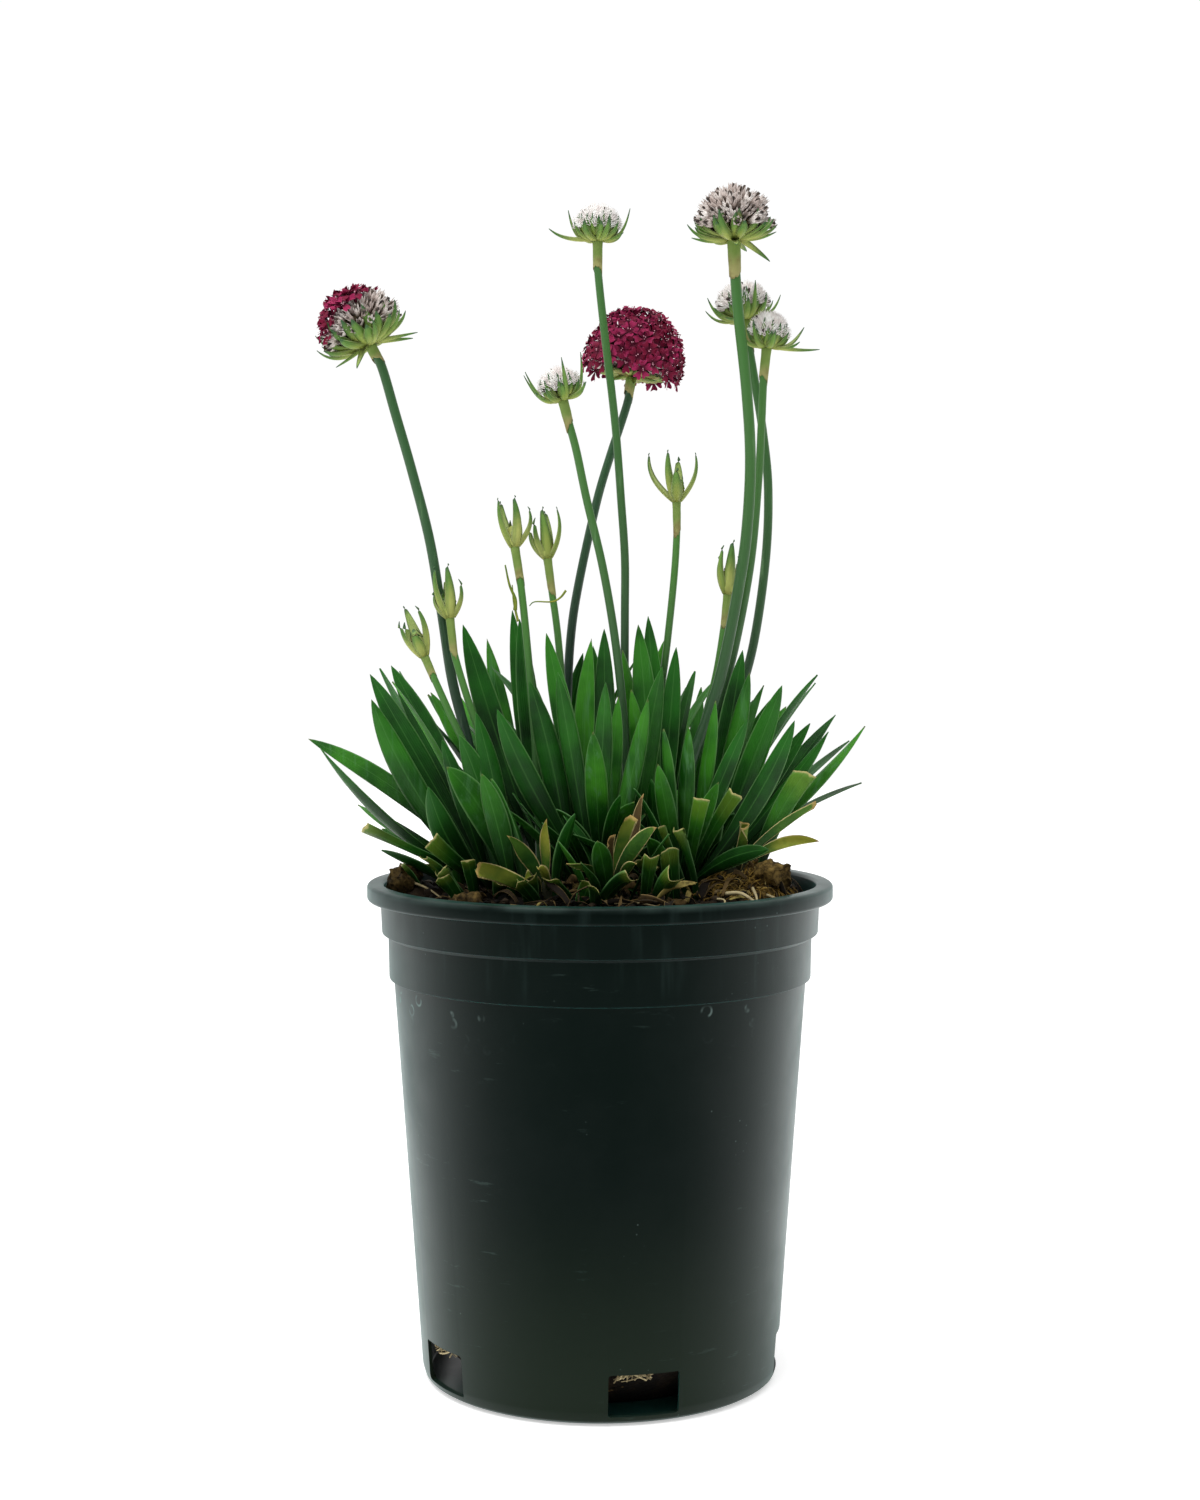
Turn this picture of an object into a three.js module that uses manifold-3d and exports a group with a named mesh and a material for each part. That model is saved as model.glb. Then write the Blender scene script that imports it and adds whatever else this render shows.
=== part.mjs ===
// Potted Armeria pseudarmeria: a clump of leafy crowns with seven flower heads
// and six buds on thin stalks, in a black nursery pot filled with potting mix.
// Units are millimetres, +Z is up and -Y faces the viewer.
// The origin is the centre of the pot's underside.

import * as THREE from 'three';
import { mergeVertices } from 'three/addons/utils/BufferGeometryUtils.js';
import Module from 'manifold-3d';

const wasm = await Module();
wasm.setup();

// Driving dimensions of the pot
const rimRadius = 82.5;
const rimTop = 176;
const rimInner = 76.5;
const rimFoot = 170;
const upperCollarFoot = 158.5;
const lowerCollarFoot = 142.5;
const wallTopRadius = 73.1;
const wallFootRadius = 63.5;
const wallThickness = 1.2;
const baseThickness = 1.8;
const baseRadius = 60.4;
const potSides = 36;
const drainHoles = 5;
const drainWidth = 24.5;
const drainFoot = 3;
const drainTop = 17.5;
const drainCorner = 3;
const firstDrainAngle = -76.5;
const drainCutIn = 9;
const drainCutOut = 5;

// Driving dimensions of the planting
const gap = 0.4;
const soilEdge = 170;
const soilRise = 4;
const soilShore = 14;
const soilSides = 30;
const rootBallChamfer = 15;
const leafSteps = 3;
const crownRadius = 5.2;
const crownSides = 6;
const crownRise = 3.5;
const crownSink = 9;
const youngLeaves = 3;
const heartRise = 5;
const heartRadius = 3;
const stalkSink = 9;
const stalkSides = 5;
const bladeThickness = 1.1;
const bractThickness = 0.9;
const bladeChannel = 0.24;
const bladeMargin = 1.3;
const soilMargin = 1.4;
const stalkMargin = 0.9;
const headSteps = 10;
const budSteps = 6;

// The eye of the front view, from which the across and height readings were taken
const eyeDistance = 850;
const eyeHeight = 269;

// Colours of the parts
const materials = {
  pot: { color: '#1b1f1f', roughness: 0.42 },
  mix: { color: '#2b2118', roughness: 0.95 },
  leaf: { color: '#2c5a26', roughness: 0.5 },
  withered: { color: '#9a8a4c', roughness: 0.8 },
  stalk: { color: '#55863f', roughness: 0.5 },
  bract: { color: '#7f8a4a', roughness: 0.6 },
  petal: { color: '#8c2850', roughness: 0.6 },
  papery: { color: '#d8d0c4', roughness: 0.7 },
};

const goldenAngle = Math.PI * (3 - Math.sqrt(5));
const up = new THREE.Vector3(0, 0, 1);
const toViewer = new THREE.Vector3(0, -1, 0.12);

// General helpers

function vector(x, y, z) {
  return new THREE.Vector3(x, y, z);
}

function mix(from, to, share) {
  return from + (to - from) * share;
}

// A point that the front view shows at (across, height), pushed back by depth
function seen(across, height, depth) {
  const scale = (eyeDistance + depth) / eyeDistance;
  return vector(across * scale, depth, eyeHeight + (height - eyeHeight) * scale);
}

// Repeatable random numbers between 0 and 1
function makeRandom(seed) {
  let state = (seed * 7919 + 104729) >>> 0;
  function next() {
    state = (Math.imul(state, 1664525) + 1013904223) >>> 0;
    return state / 4294967296;
  }
  next();
  next();
  return next;
}

function spread(random, reach) {
  return (random() * 2 - 1) * reach;
}

// Solids

// A geometry with the points that share a place made one
function welded(geometry, reach) {
  const bare = geometry.clone();
  bare.deleteAttribute('normal');
  bare.deleteAttribute('uv');
  return mergeVertices(bare, reach);
}

function solid(geometry) {
  const merged = welded(geometry, 1e-4);
  const corners = merged.index.array;
  const kept = [];
  for (let i = 0; i < corners.length; i += 3) {
    const [a, b, c] = [corners[i], corners[i + 1], corners[i + 2]];
    if (a !== b && b !== c && c !== a) kept.push(a, b, c);
  }
  return new wasm.Manifold(new wasm.Mesh({
    numProp: 3,
    vertProperties: Float32Array.from(merged.attributes.position.array),
    triVerts: Uint32Array.from(kept),
  }));
}

function join(solids) {
  return solids.reduce((whole, piece) => whole.add(piece));
}

// The outer skin of a solid, without the scraps that a cut may leave and with
// any hollow that joined blades close off filled. Triangles that share an edge
// belong to one skin.
function outerBody(whole) {
  const mesh = whole.getMesh();
  const corners = mesh.triVerts;
  const spots = mesh.vertProperties;
  const count = corners.length / 3;
  const parent = Array.from({ length: count }, (_, i) => i);
  const find = (i) => {
    let top = i;
    while (parent[top] !== top) top = parent[top];
    parent[i] = top;
    return top;
  };
  const edges = new Map();
  for (let i = 0; i < count; i++) {
    for (let j = 0; j < 3; j++) {
      const from = corners[i * 3 + j];
      const to = corners[i * 3 + (j + 1) % 3];
      const key = Math.min(from, to) * mesh.numVert + Math.max(from, to);
      if (edges.has(key)) parent[find(i)] = find(edges.get(key));
      else edges.set(key, i);
    }
  }
  const skins = new Map();
  const at = (corner) => vector(spots[corner * 3], spots[corner * 3 + 1], spots[corner * 3 + 2]);
  for (let i = 0; i < count; i++) {
    const key = find(i);
    if (!skins.has(key)) skins.set(key, { volume: 0, corners: [] });
    const skin = skins.get(key);
    const [a, b, c] = corners.slice(i * 3, i * 3 + 3);
    skin.volume += at(a).dot(at(b).cross(at(c))) / 6;
    skin.corners.push(a, b, c);
  }
  const outer = [...skins.values()].reduce((best, skin) => (skin.volume > best.volume ? skin : best));
  return new wasm.Manifold(new wasm.Mesh({
    numProp: 3,
    vertProperties: spots,
    triVerts: Uint32Array.from(outer.corners),
  }));
}

function toGeometry(body) {
  const mesh = body.getMesh();
  const geometry = new THREE.BufferGeometry();
  geometry.setAttribute('position', new THREE.BufferAttribute(mesh.vertProperties, 3));
  geometry.setIndex(new THREE.BufferAttribute(mesh.triVerts, 1));
  geometry.computeVertexNormals();
  return geometry;
}

// A rod or blade whose every ring is placed by a function of the share of its
// length, and of the two section coordinates, which run from -1 to 1
function formed(sides, steps, pointed, at) {
  const geometry = pointed
    ? new THREE.ConeGeometry(1, 1, sides, steps)
    : new THREE.CylinderGeometry(1, 1, 1, sides, steps);
  const spots = geometry.attributes.position;
  for (let i = 0; i < spots.count; i++) {
    const share = spots.getY(i) + 0.5;
    const reach = pointed ? Math.max(1 - share, 1e-9) : 1;
    const atTip = pointed && share > 0.9999;
    const side = atTip ? 0 : spots.getX(i) / reach;
    const face = atTip ? 0 : spots.getZ(i) / reach;
    const point = at(Math.min(share, 1), side, face);
    spots.setXYZ(i, point.x, point.y, point.z);
  }
  return geometry;
}

// The two directions across a route, the second one facing a given way
function across(tangent, facing) {
  const face = facing.clone().addScaledVector(tangent, -facing.dot(tangent)).normalize();
  const side = tangent.clone().cross(face);
  return { side, face };
}

function rod(route, radiusAt, sides, steps) {
  return formed(sides, steps, false, (share, side, face) => {
    const frame = across(route.getTangent(share), toViewer);
    const radius = radiusAt(share);
    return route.getPoint(share)
      .addScaledVector(frame.side, side * radius)
      .addScaledVector(frame.face, face * radius);
  });
}

function drum(x, y, foot, top, footRadius, topRadius, sides) {
  const geometry = new THREE.CylinderGeometry(topRadius, footRadius, top - foot, sides);
  geometry.rotateX(Math.PI / 2);
  geometry.translate(x, y, (foot + top) / 2);
  return geometry;
}

// Pot

function potProfile() {
  const points = [
    [0, 0],
    [baseRadius, 0],
    [baseRadius + 2.2, 1.3],
    [wallFootRadius, 4.6],
    [wallTopRadius, lowerCollarFoot - 2.5],
    [wallTopRadius + 1.7, lowerCollarFoot],
    [wallTopRadius + 2, upperCollarFoot - 2.5],
    [wallTopRadius + 4.2, upperCollarFoot],
    [wallTopRadius + 4.7, rimFoot],
    [rimRadius - 0.9, rimFoot + 0.2],
    [rimRadius, rimFoot + 1.2],
    [rimRadius - 0.2, rimTop - 2.2],
    [rimRadius - 1.5, rimTop - 0.4],
    [rimRadius - 3, rimTop],
    [rimInner + 0.9, rimTop - 0.5],
    [rimInner, rimTop - 1.8],
    [rimInner, upperCollarFoot],
    [wallTopRadius + 0.8, upperCollarFoot - 2.3],
    [wallTopRadius + 0.5, lowerCollarFoot + 0.2],
    [wallTopRadius - wallThickness, lowerCollarFoot - 2.3],
    [wallFootRadius - wallThickness, 6],
    [baseRadius, baseThickness],
    [0, baseThickness],
  ];
  return points.map(([radius, height]) => new THREE.Vector2(radius, height));
}

function drainHole(angle) {
  const half = drainWidth / 2;
  const outline = new THREE.Shape();
  outline.moveTo(-half + drainCorner, drainFoot);
  outline.lineTo(half - drainCorner, drainFoot);
  outline.quadraticCurveTo(half, drainFoot, half, drainFoot + drainCorner);
  outline.lineTo(half, drainTop - drainCorner);
  outline.quadraticCurveTo(half, drainTop, half - drainCorner, drainTop);
  outline.lineTo(-half + drainCorner, drainTop);
  outline.quadraticCurveTo(-half, drainTop, -half, drainTop - drainCorner);
  outline.lineTo(-half, drainFoot + drainCorner);
  outline.quadraticCurveTo(-half, drainFoot, -half + drainCorner, drainFoot);
  const depth = drainCutIn + drainCutOut;
  const cut = new THREE.ExtrudeGeometry(outline, { depth, bevelEnabled: false, curveSegments: 1 });
  cut.rotateX(Math.PI / 2);
  cut.rotateZ(Math.PI);
  cut.translate(0, wallFootRadius - drainCutIn, 0);
  cut.rotateZ(THREE.MathUtils.degToRad(angle - 90));
  return cut;
}

function makePot() {
  const wall = new THREE.LatheGeometry(potProfile(), potSides);
  wall.rotateX(Math.PI / 2);
  let pot = solid(wall);
  for (let i = 0; i < drainHoles; i++) {
    pot = pot.subtract(solid(drainHole(firstDrainAngle + i * 360 / drainHoles)));
  }
  return pot;
}

// Potting mix

// Mounds on top of the mix: the mossy one on the right and a low one on the left
const mounds = [
  { at: [52, -14], reach: [14, 15], rise: 11 },
  { at: [-66, -4], reach: [10, 12], rise: 4 },
];

// Height of the surface of the mix at a place
function soilHeight(x, y) {
  const radius = Math.hypot(x, y);
  const dome = soilRise * (1 - (radius / rimInner) ** 2);
  const shore = THREE.MathUtils.smoothstep(rimInner - radius, 0, soilShore);
  let heaped = 0.7 * Math.sin(x * 0.33 + 1) * Math.cos(y * 0.29) + 0.5 * Math.sin(x * 0.9 - y * 0.7);
  for (const { at, reach, rise } of mounds) {
    heaped += rise * Math.exp(-(((x - at[0]) / reach[0]) ** 2) - ((y - at[1]) / reach[1]) ** 2);
  }
  return soilEdge + dome + heaped * shore;
}

const chunks = [
  { at: [-69.5, -6, 176.5], size: [6, 7.5, 6], seed: 3 },
  { at: [60, -22, 180.5], size: [7, 6, 4.5], seed: 5 },
  { at: [-44, -42, 172], size: [6, 5, 4], seed: 7 },
  { at: [-52, 40, 172], size: [6, 6, 4], seed: 13 },
  { at: [56, 34, 172], size: [6.5, 5, 4], seed: 15 },
];

function chunk(spec) {
  const random = makeRandom(spec.seed);
  const geometry = welded(new THREE.IcosahedronGeometry(1, 0), 1e-3);
  const spots = geometry.attributes.position;
  for (let i = 0; i < spots.count; i++) {
    const swell = 1 + spread(random, 0.16);
    spots.setXYZ(
      i,
      spec.at[0] + spots.getX(i) * spec.size[0] * swell,
      spec.at[1] + spots.getY(i) * spec.size[1] * swell,
      spec.at[2] + spots.getZ(i) * spec.size[2] * swell,
    );
  }
  return geometry;
}

function makeMix(crowns, roots) {
  const foot = baseThickness + gap;
  const collar = wallTopRadius + 0.5 - gap;
  const profile = [
    [0, foot],
    [baseRadius - rootBallChamfer, foot],
    [wallFootRadius - 1.1, drainTop + 0.5],
    [wallTopRadius - wallThickness - gap, lowerCollarFoot - 3],
    [wallTopRadius - wallThickness - gap, lowerCollarFoot - 1],
    [collar, lowerCollarFoot + 1.5],
    [collar, upperCollarFoot - 0.6],
    [rimInner - 0.5, upperCollarFoot + 2],
    [rimInner - 0.5, soilEdge],
  ];
  const rings = [67, 55, 42, 28, 14, 0];
  for (const radius of rings) {
    profile.push([radius, soilEdge]);
  }
  const turned = new THREE.LatheGeometry(
    profile.map(([radius, height]) => new THREE.Vector2(radius, height)),
    soilSides,
  );
  turned.rotateX(Math.PI / 2);
  const spots = turned.attributes.position;
  for (let i = 0; i < spots.count; i++) {
    if (spots.getZ(i) > soilEdge - 0.01) {
      spots.setZ(i, soilHeight(spots.getX(i), spots.getY(i)));
    }
  }
  const top = rimTop + 30;
  let body = join([solid(turned), ...chunks.map((spec) => solid(chunk(spec)))]);
  for (const crown of crowns) {
    const hole = crownRadius + gap / Math.cos(Math.PI / crownSides);
    const floor = soilHeight(crown.x, crown.y) - crownSink - gap;
    body = body.subtract(solid(drum(crown.x, crown.y, floor, top, hole, hole, crownSides)));
  }
  for (const root of roots) {
    const hole = (root.radius + gap + 0.2) / Math.cos(Math.PI / stalkSides);
    const floor = soilHeight(root.x, root.y) - stalkSink - gap;
    body = body.subtract(solid(drum(root.x, root.y, floor, top, hole, hole, stalkSides)));
  }
  return outerBody(body);
}

// Blades: leaves, bracts and withered leaves

// Share of the full width along a leaf, broad past the middle and pointed
function leafWidth(share) {
  const widest = 0.6;
  const narrow = 0.28;
  const tipRoundness = 2.3;
  if (share < widest) return mix(narrow, 1, THREE.MathUtils.smoothstep(share, 0, widest));
  return 1 - ((share - widest) / (1 - widest)) ** tipRoundness;
}

function stubWidth(share) {
  return mix(0.5, 0.95, share);
}

// Everything that the shape of a leaf needs, from its foot, its tip and how
// far its middle stands off the straight line between them
function leafOf(foot, tip, width, bow, turn, options = {}) {
  const chord = tip.clone().sub(foot);
  const level = vector(chord.x, chord.y, 0);
  const reach = level.length();
  const outward = reach > 0.5 ? level.multiplyScalar(1 / reach) : vector(0, -1, 0);
  const length = chord.length();
  const inner = outward.clone().multiplyScalar(-chord.z / length).addScaledVector(up, reach / length);
  const control = foot.clone().add(tip).multiplyScalar(0.5).addScaledVector(inner, bow * 2);
  const route = new THREE.QuadraticBezierCurve3(foot, control, tip);
  const facing = options.facing ?? inner;
  const cup = facing.dot(inner) < 0 ? -1 : 1;
  return {
    route,
    width,
    turn: THREE.MathUtils.degToRad(turn),
    facing,
    cup,
    cut: options.cut ?? false,
    steps: leafSteps,
    sides: options.sides ?? 4,
  };
}

function leafFrame(leaf, share) {
  const frame = across(leaf.route.getTangent(share), leaf.facing);
  const cos = Math.cos(leaf.turn);
  const sin = Math.sin(leaf.turn);
  const side = frame.side.clone().multiplyScalar(cos).addScaledVector(frame.face, sin);
  const face = frame.face.clone().multiplyScalar(cos).addScaledVector(frame.side, -sin);
  const half = leaf.width / 2 * (leaf.cut ? stubWidth(share) : leafWidth(share));
  return { centre: leaf.route.getPoint(share), side, face, half };
}

function leafBlade(leaf) {
  const frames = new Map();
  const flatSide = leaf.sides === 3 ? 2 / Math.sqrt(3) : 1;
  const flip = leaf.sides === 3 ? -leaf.cup : 1;
  return formed(leaf.sides, leaf.steps, !leaf.cut, (share, side, face) => {
    if (!frames.has(share)) frames.set(share, leafFrame(leaf, share));
    const frame = frames.get(share);
    const thick = bladeThickness / 2 * mix(1.15, 0.75, share);
    const edge = Math.abs(side) > 0.5 ? 1 : 0;
    const lift = edge * leaf.cup * bladeChannel * frame.half;
    const rise = edge ? 0 : face * thick * flip;
    return frame.centre.clone()
      .addScaledVector(frame.side, side * flip * flatSide * frame.half)
      .addScaledVector(frame.face, lift + rise);
  });
}

// The middle surface of a leaf as rows of three points, and the same surface
// swollen by a margin to both faces
function leafNet(leaf, margin) {
  const rows = [];
  for (let i = 0; i <= leaf.steps; i++) {
    const share = i / leaf.steps;
    const frame = leafFrame(leaf, share);
    const half = frame.half + margin;
    const lift = leaf.cup * bladeChannel * frame.half;
    const row = [-1, 0, 1].map((side) => frame.centre.clone()
      .addScaledVector(frame.side, side * (margin ? half : frame.half))
      .addScaledVector(frame.face, side ? lift : 0));
    rows.push({ row, face: frame.face });
  }
  return rows;
}

function sheetOf(rows, offset, from) {
  const grid = rows.slice(from).map(({ row, face }) => (
    row.map((point) => point.clone().addScaledVector(face, offset))
  ));
  return netOf(grid);
}

// Segments and triangles of a grid of points
function netOf(grid) {
  const segments = [];
  const triangles = [];
  for (let i = 0; i < grid.length; i++) {
    for (let j = 0; j < grid[i].length; j++) {
      const last = j === grid[i].length - 1;
      if (!last) segments.push([grid[i][j], grid[i][j + 1]]);
      if (i + 1 < grid.length) {
        segments.push([grid[i][j], grid[i + 1][j]]);
        if (!last) {
          triangles.push([grid[i][j], grid[i + 1][j], grid[i][j + 1]]);
          triangles.push([grid[i + 1][j + 1], grid[i][j + 1], grid[i + 1][j]]);
        }
      }
    }
  }
  return { segments, triangles };
}

function boxOf(nets) {
  const box = new THREE.Box3();
  for (const net of nets) {
    for (const [a, b] of net.segments) {
      box.expandByPoint(a);
      box.expandByPoint(b);
    }
  }
  return box;
}

function pierces([from, to], [a, b, c]) {
  const direction = to.clone().sub(from);
  const edgeOne = b.clone().sub(a);
  const edgeTwo = c.clone().sub(a);
  const normal = direction.clone().cross(edgeTwo);
  const determinant = edgeOne.dot(normal);
  if (Math.abs(determinant) < 1e-12) return false;
  const offset = from.clone().sub(a);
  const first = offset.dot(normal) / determinant;
  if (first < 0 || first > 1) return false;
  const turned = offset.cross(edgeOne);
  const second = direction.dot(turned) / determinant;
  if (second < 0 || first + second > 1) return false;
  const along = edgeTwo.dot(turned) / determinant;
  return along >= 0 && along <= 1;
}

function netsCross(one, other) {
  return one.segments.some((segment) => other.triangles.some((corner) => pierces(segment, corner)))
    || other.segments.some((segment) => one.triangles.some((corner) => pierces(segment, corner)));
}

// What a leaf must stay clear of: the leaves placed so far and the stalks
const placed = [];

function bodyOfLeaf(leaf, crown) {
  const plain = leafNet(leaf, 0);
  const swollen = leafNet(leaf, bladeMargin);
  const plainNet = sheetOf(plain, 0, 0);
  const shells = [-bladeMargin, 0, bladeMargin].map((offset) => sheetOf(swollen, offset, 0));
  const outerShells = [-bladeMargin, 0, bladeMargin].map((offset) => sheetOf(swollen, offset, 1));
  const outerNet = sheetOf(plain, 0, 1);
  return {
    crown,
    plainNet,
    shells,
    outerNet,
    outerShells,
    box: boxOf(shells),
  };
}

function isClear(body) {
  for (const other of placed) {
    if (!other.box.intersectsBox(body.box)) continue;
    const family = other.crown === body.crown;
    const shells = family ? body.outerShells : body.shells;
    const net = family ? other.outerNet : other.plainNet;
    if (shells.some((shell) => netsCross(shell, net))) return false;
  }
  return true;
}

// True where a leaf's middle surface stays above the mix and the pot's rim. Close
// to its own crown it may go down into the stub.
function aboveSoil(body, crown) {
  return body.plainNet.segments.every(([from, to]) => {
    const middle = from.clone().add(to).multiplyScalar(0.5);
    return [from, middle].every((point) => {
      const away = Math.hypot(point.x - crown.x, point.y - crown.y);
      const radius = Math.hypot(point.x, point.y);
      const ground = radius < rimInner ? soilHeight(point.x, point.y) : rimTop;
      const nearRim = radius > rimInner - 2 && radius < rimRadius + 1;
      const floor = nearRim ? Math.max(ground, rimTop) : ground;
      return away < crownRadius + 1 || radius > rimRadius + 1 || point.z > floor + soilMargin;
    });
  });
}

// A rod as an obstacle: a swollen tube with six sides
function bodyOfRod(route, radiusAt, steps, margin) {
  const grid = [];
  for (let i = 0; i <= steps; i++) {
    const share = i / steps;
    const frame = across(route.getTangent(share), toViewer);
    const centre = route.getPoint(share);
    const ring = [];
    for (let j = 0; j <= 6; j++) {
      const angle = j * Math.PI / 3;
      const radius = radiusAt(share) + margin;
      ring.push(centre.clone()
        .addScaledVector(frame.side, radius * Math.cos(angle))
        .addScaledVector(frame.face, radius * Math.sin(angle)));
    }
    grid.push(ring);
  }
  const net = netOf(grid);
  return { crown: null, plainNet: net, outerNet: net, box: boxOf([net]) };
}

// Flower stalks and heads, from the left. Readings are [across, height] in the
// front view; depths are behind the pot's axis, at the root and at the head.

const flowers = [
  {
    name: 'a',
    root: [-29, -1],
    depth: [-1, -5],
    radius: 1.75,
    stalk: [[-43, 212], [-48, 230], [-52.5, 248], [-55.8, 270], [-60, 296], [-66, 320], [-72, 341]],
    sheathFoot: [-76, 356],
    base: [-80.5, 364.5],
    bowl: [6, 3],
    bractCount: 10,
    bracts: [
      [-64.5, 369.5, -4], [-67, 367, 5], [-97, 364.5, 2],
      [-90, 358.5, -6], [-84, 357, -9], [-98, 371, -3],
    ],
    bloom: { ridges: 9, radius: 15, height: 20.5 },
  },
  {
    name: 'b',
    root: [11, 14],
    depth: [14, 6],
    radius: 1.45,
    stalk: [[9.5, 215], [8.8, 240], [8.8, 270], [8.8, 290], [7.5, 310], [5.3, 338], [1.5, 370]],
    sheathFoot: [-0.8, 390.5],
    base: [-0.8, 401],
    bowl: [4.5, 2.4],
    bractCount: 9,
    bracts: [
      [-18, 405.5, -2], [-11, 412, 3], [10.5, 412.5, 1],
      [4, 409, -9], [-5, 409, -9], [9, 404, -4],
    ],
    bloom: { ridges: 7, radius: 8.8, height: 13 },
  },
  {
    name: 'c',
    root: [-8, 24],
    depth: [24, 30],
    radius: 1.6,
    stalk: [[-11.5, 215], [-11.6, 240], [-10.2, 264], [-7.2, 283], [-1.2, 310], [3.5, 326]],
    sheathFoot: [9.3, 343],
    base: [11, 353.5],
    bowl: [5.5, 3],
    bractCount: 8,
    bracts: [[3, 352.5, -7], [20, 352.5, -6], [12, 351.5, -9]],
    bloom: { florets: 27, radius: 18.6, height: 24, open: 102, petal: 5 },
  },
  {
    name: 'd',
    root: [10, 2],
    depth: [2, -6],
    radius: 1.45,
    stalk: [[9.5, 215], [7.8, 240], [5, 264], [0.8, 288], [-4.7, 311], [-8.3, 328]],
    sheathFoot: [-10.6, 336.5],
    base: [-13, 345.5],
    bowl: [4.5, 2.2],
    bractCount: 9,
    bracts: [
      [-27, 354.5, 0], [-23.5, 356, 5], [-14.5, 360.5, -8],
      [-7.5, 362.5, -2], [-4.5, 353, -3],
    ],
    bloom: { ridges: 7, radius: 8.2, height: 12 },
  },
  {
    name: 'e',
    root: [27, -5],
    depth: [-5, -6],
    radius: 1.95,
    stalk: [
      [31, 212], [38.5, 235], [43.5, 252], [49, 280],
      [51.8, 300], [53, 325], [51.5, 350], [48.6, 376],
    ],
    sheathFoot: [47.4, 390],
    base: [46.9, 401],
    bowl: [6, 2.6],
    bractCount: 9,
    bracts: [
      [32, 402.5, 1], [61.8, 404.5, 0], [59, 395.5, -3],
      [56.5, 399, 6], [43.5, 412, -12.5], [38, 398.5, -8],
    ],
    bloom: { ridges: 9, radius: 13.6, height: 18.5 },
  },
  {
    name: 'f',
    root: [38, 17],
    depth: [17, 28],
    radius: 1.6,
    stalk: [[41, 212], [48, 237], [54.3, 260], [58.5, 290], [59.3, 315], [57.3, 335], [54.5, 352]],
    sheathFoot: [52.4, 364],
    base: [51, 373.5],
    bowl: [5.5, 2.5],
    bractCount: 9,
    bracts: [
      [40.5, 381.5, 0], [42, 373.5, -4], [63.3, 382.5, 2],
      [55, 387.5, -10.5], [47, 366.5, -5], [53.5, 391, -9],
    ],
    bloom: { ridges: 8, radius: 10.4, height: 14 },
  },
  {
    name: 'g',
    root: [31, 14],
    depth: [14, 4],
    radius: 1.45,
    stalk: [[36, 212], [42, 237], [48, 260], [53.4, 290], [56, 320], [56.8, 336]],
    sheathFoot: [57.4, 352.5],
    base: [58.6, 363.8],
    bowl: [4.5, 2.2],
    bractCount: 9,
    bracts: [[77.2, 363.5, -3], [74, 371.5, 0], [71, 366, -5], [52, 368.5, -3], [54, 373.5, -8]],
    bloom: { ridges: 7, radius: 7.6, height: 13 },
  },
];

const buds = [
  {
    name: 'h1',
    root: [-21, -5],
    depth: [-5, 6],
    radius: 1.35,
    stalk: [[-23, 225], [-26, 262]],
    sheathFoot: [-28, 281.5],
    base: [-30, 294],
    tips: [[-36, 311.5, 0], [-29.5, 312.5, -3], [-25.5, 308.5, 0], [-32.5, 308, -4], [-31, 311, 4]],
  },
  {
    name: 'h2',
    root: [-10, 8],
    depth: [8, 12],
    radius: 1.3,
    stalk: [[-12, 225], [-14.6, 260]],
    sheathFoot: [-17, 278.5],
    base: [-18.5, 290],
    tips: [
      [-23, 304.5, 0], [-20.5, 308.5, -2], [-19.5, 307, 4],
      [-15.5, 308.5, 0], [-17.5, 303, -4],
    ],
  },
  {
    name: 'h3',
    root: [18, 12],
    depth: [12, 10],
    radius: 1.3,
    stalk: [[19.5, 225], [23.5, 258], [26.2, 284]],
    sheathFoot: [27.2, 299.5],
    base: [27, 310],
    tips: [
      [17, 327.5, 0], [24, 328.5, -3], [27.5, 326, 4],
      [33.5, 327.5, 0], [24, 322, -6], [30.5, 318.5, -5],
    ],
  },
  {
    name: 'h4',
    root: [-33, -17],
    depth: [-17, -12],
    radius: 1.25,
    stalk: [[-43, 212], [-53, 235]],
    sheathFoot: [-58.8, 248],
    base: [-62, 255.5],
    tips: [[-71, 268, 0], [-69.5, 273.5, 3], [-65.5, 273.5, -2], [-67, 265, -3]],
  },
  {
    name: 'h5',
    root: [-27, -13],
    depth: [-13, -8],
    radius: 1.3,
    stalk: [[-38, 215], [-46, 238]],
    sheathFoot: [-51.6, 256],
    base: [-53, 269],
    tips: [[-58.5, 287.5, 0], [-54, 288.5, -3], [-50, 283, 0], [-55.5, 284, 4], [-52.5, 280, -4]],
  },
  {
    name: 'h6',
    root: [25, 7],
    depth: [7, 4],
    radius: 1.25,
    stalk: [[35, 225], [41, 249]],
    sheathFoot: [44, 267.5],
    base: [45, 277.5],
    tips: [[43.5, 295, 0], [46, 297, -2], [48.5, 291, 1], [45, 292, -3], [44.5, 293, 4]],
  },
];

function depthAt(plant, height) {
  const [, top] = plant.base;
  const share = (height - 182) / (top - 182);
  return mix(plant.depth[0], plant.depth[1], share);
}

function spotOf(plant, [u, v], push = 0) {
  return seen(u, v, depthAt(plant, v) + push);
}

function stalkRoute(plant) {
  const [x, y] = plant.root;
  const ground = soilHeight(x, y);
  const points = [vector(x, y, ground - stalkSink), vector(x, y, ground + 4)];
  for (const reading of plant.stalk) {
    points.push(spotOf(plant, reading));
  }
  const foot = spotOf(plant, plant.sheathFoot);
  const base = spotOf(plant, plant.base);
  const axis = base.clone().sub(foot).normalize();
  points.push(foot.clone().addScaledVector(axis, 1.5));
  points.push(base.clone().addScaledVector(axis, -gap));
  return new THREE.CatmullRomCurve3(points, false, 'catmullrom', 0.5);
}

function stalkRadius(plant) {
  return (share) => plant.radius * mix(1.08, 0.94, share);
}

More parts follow.
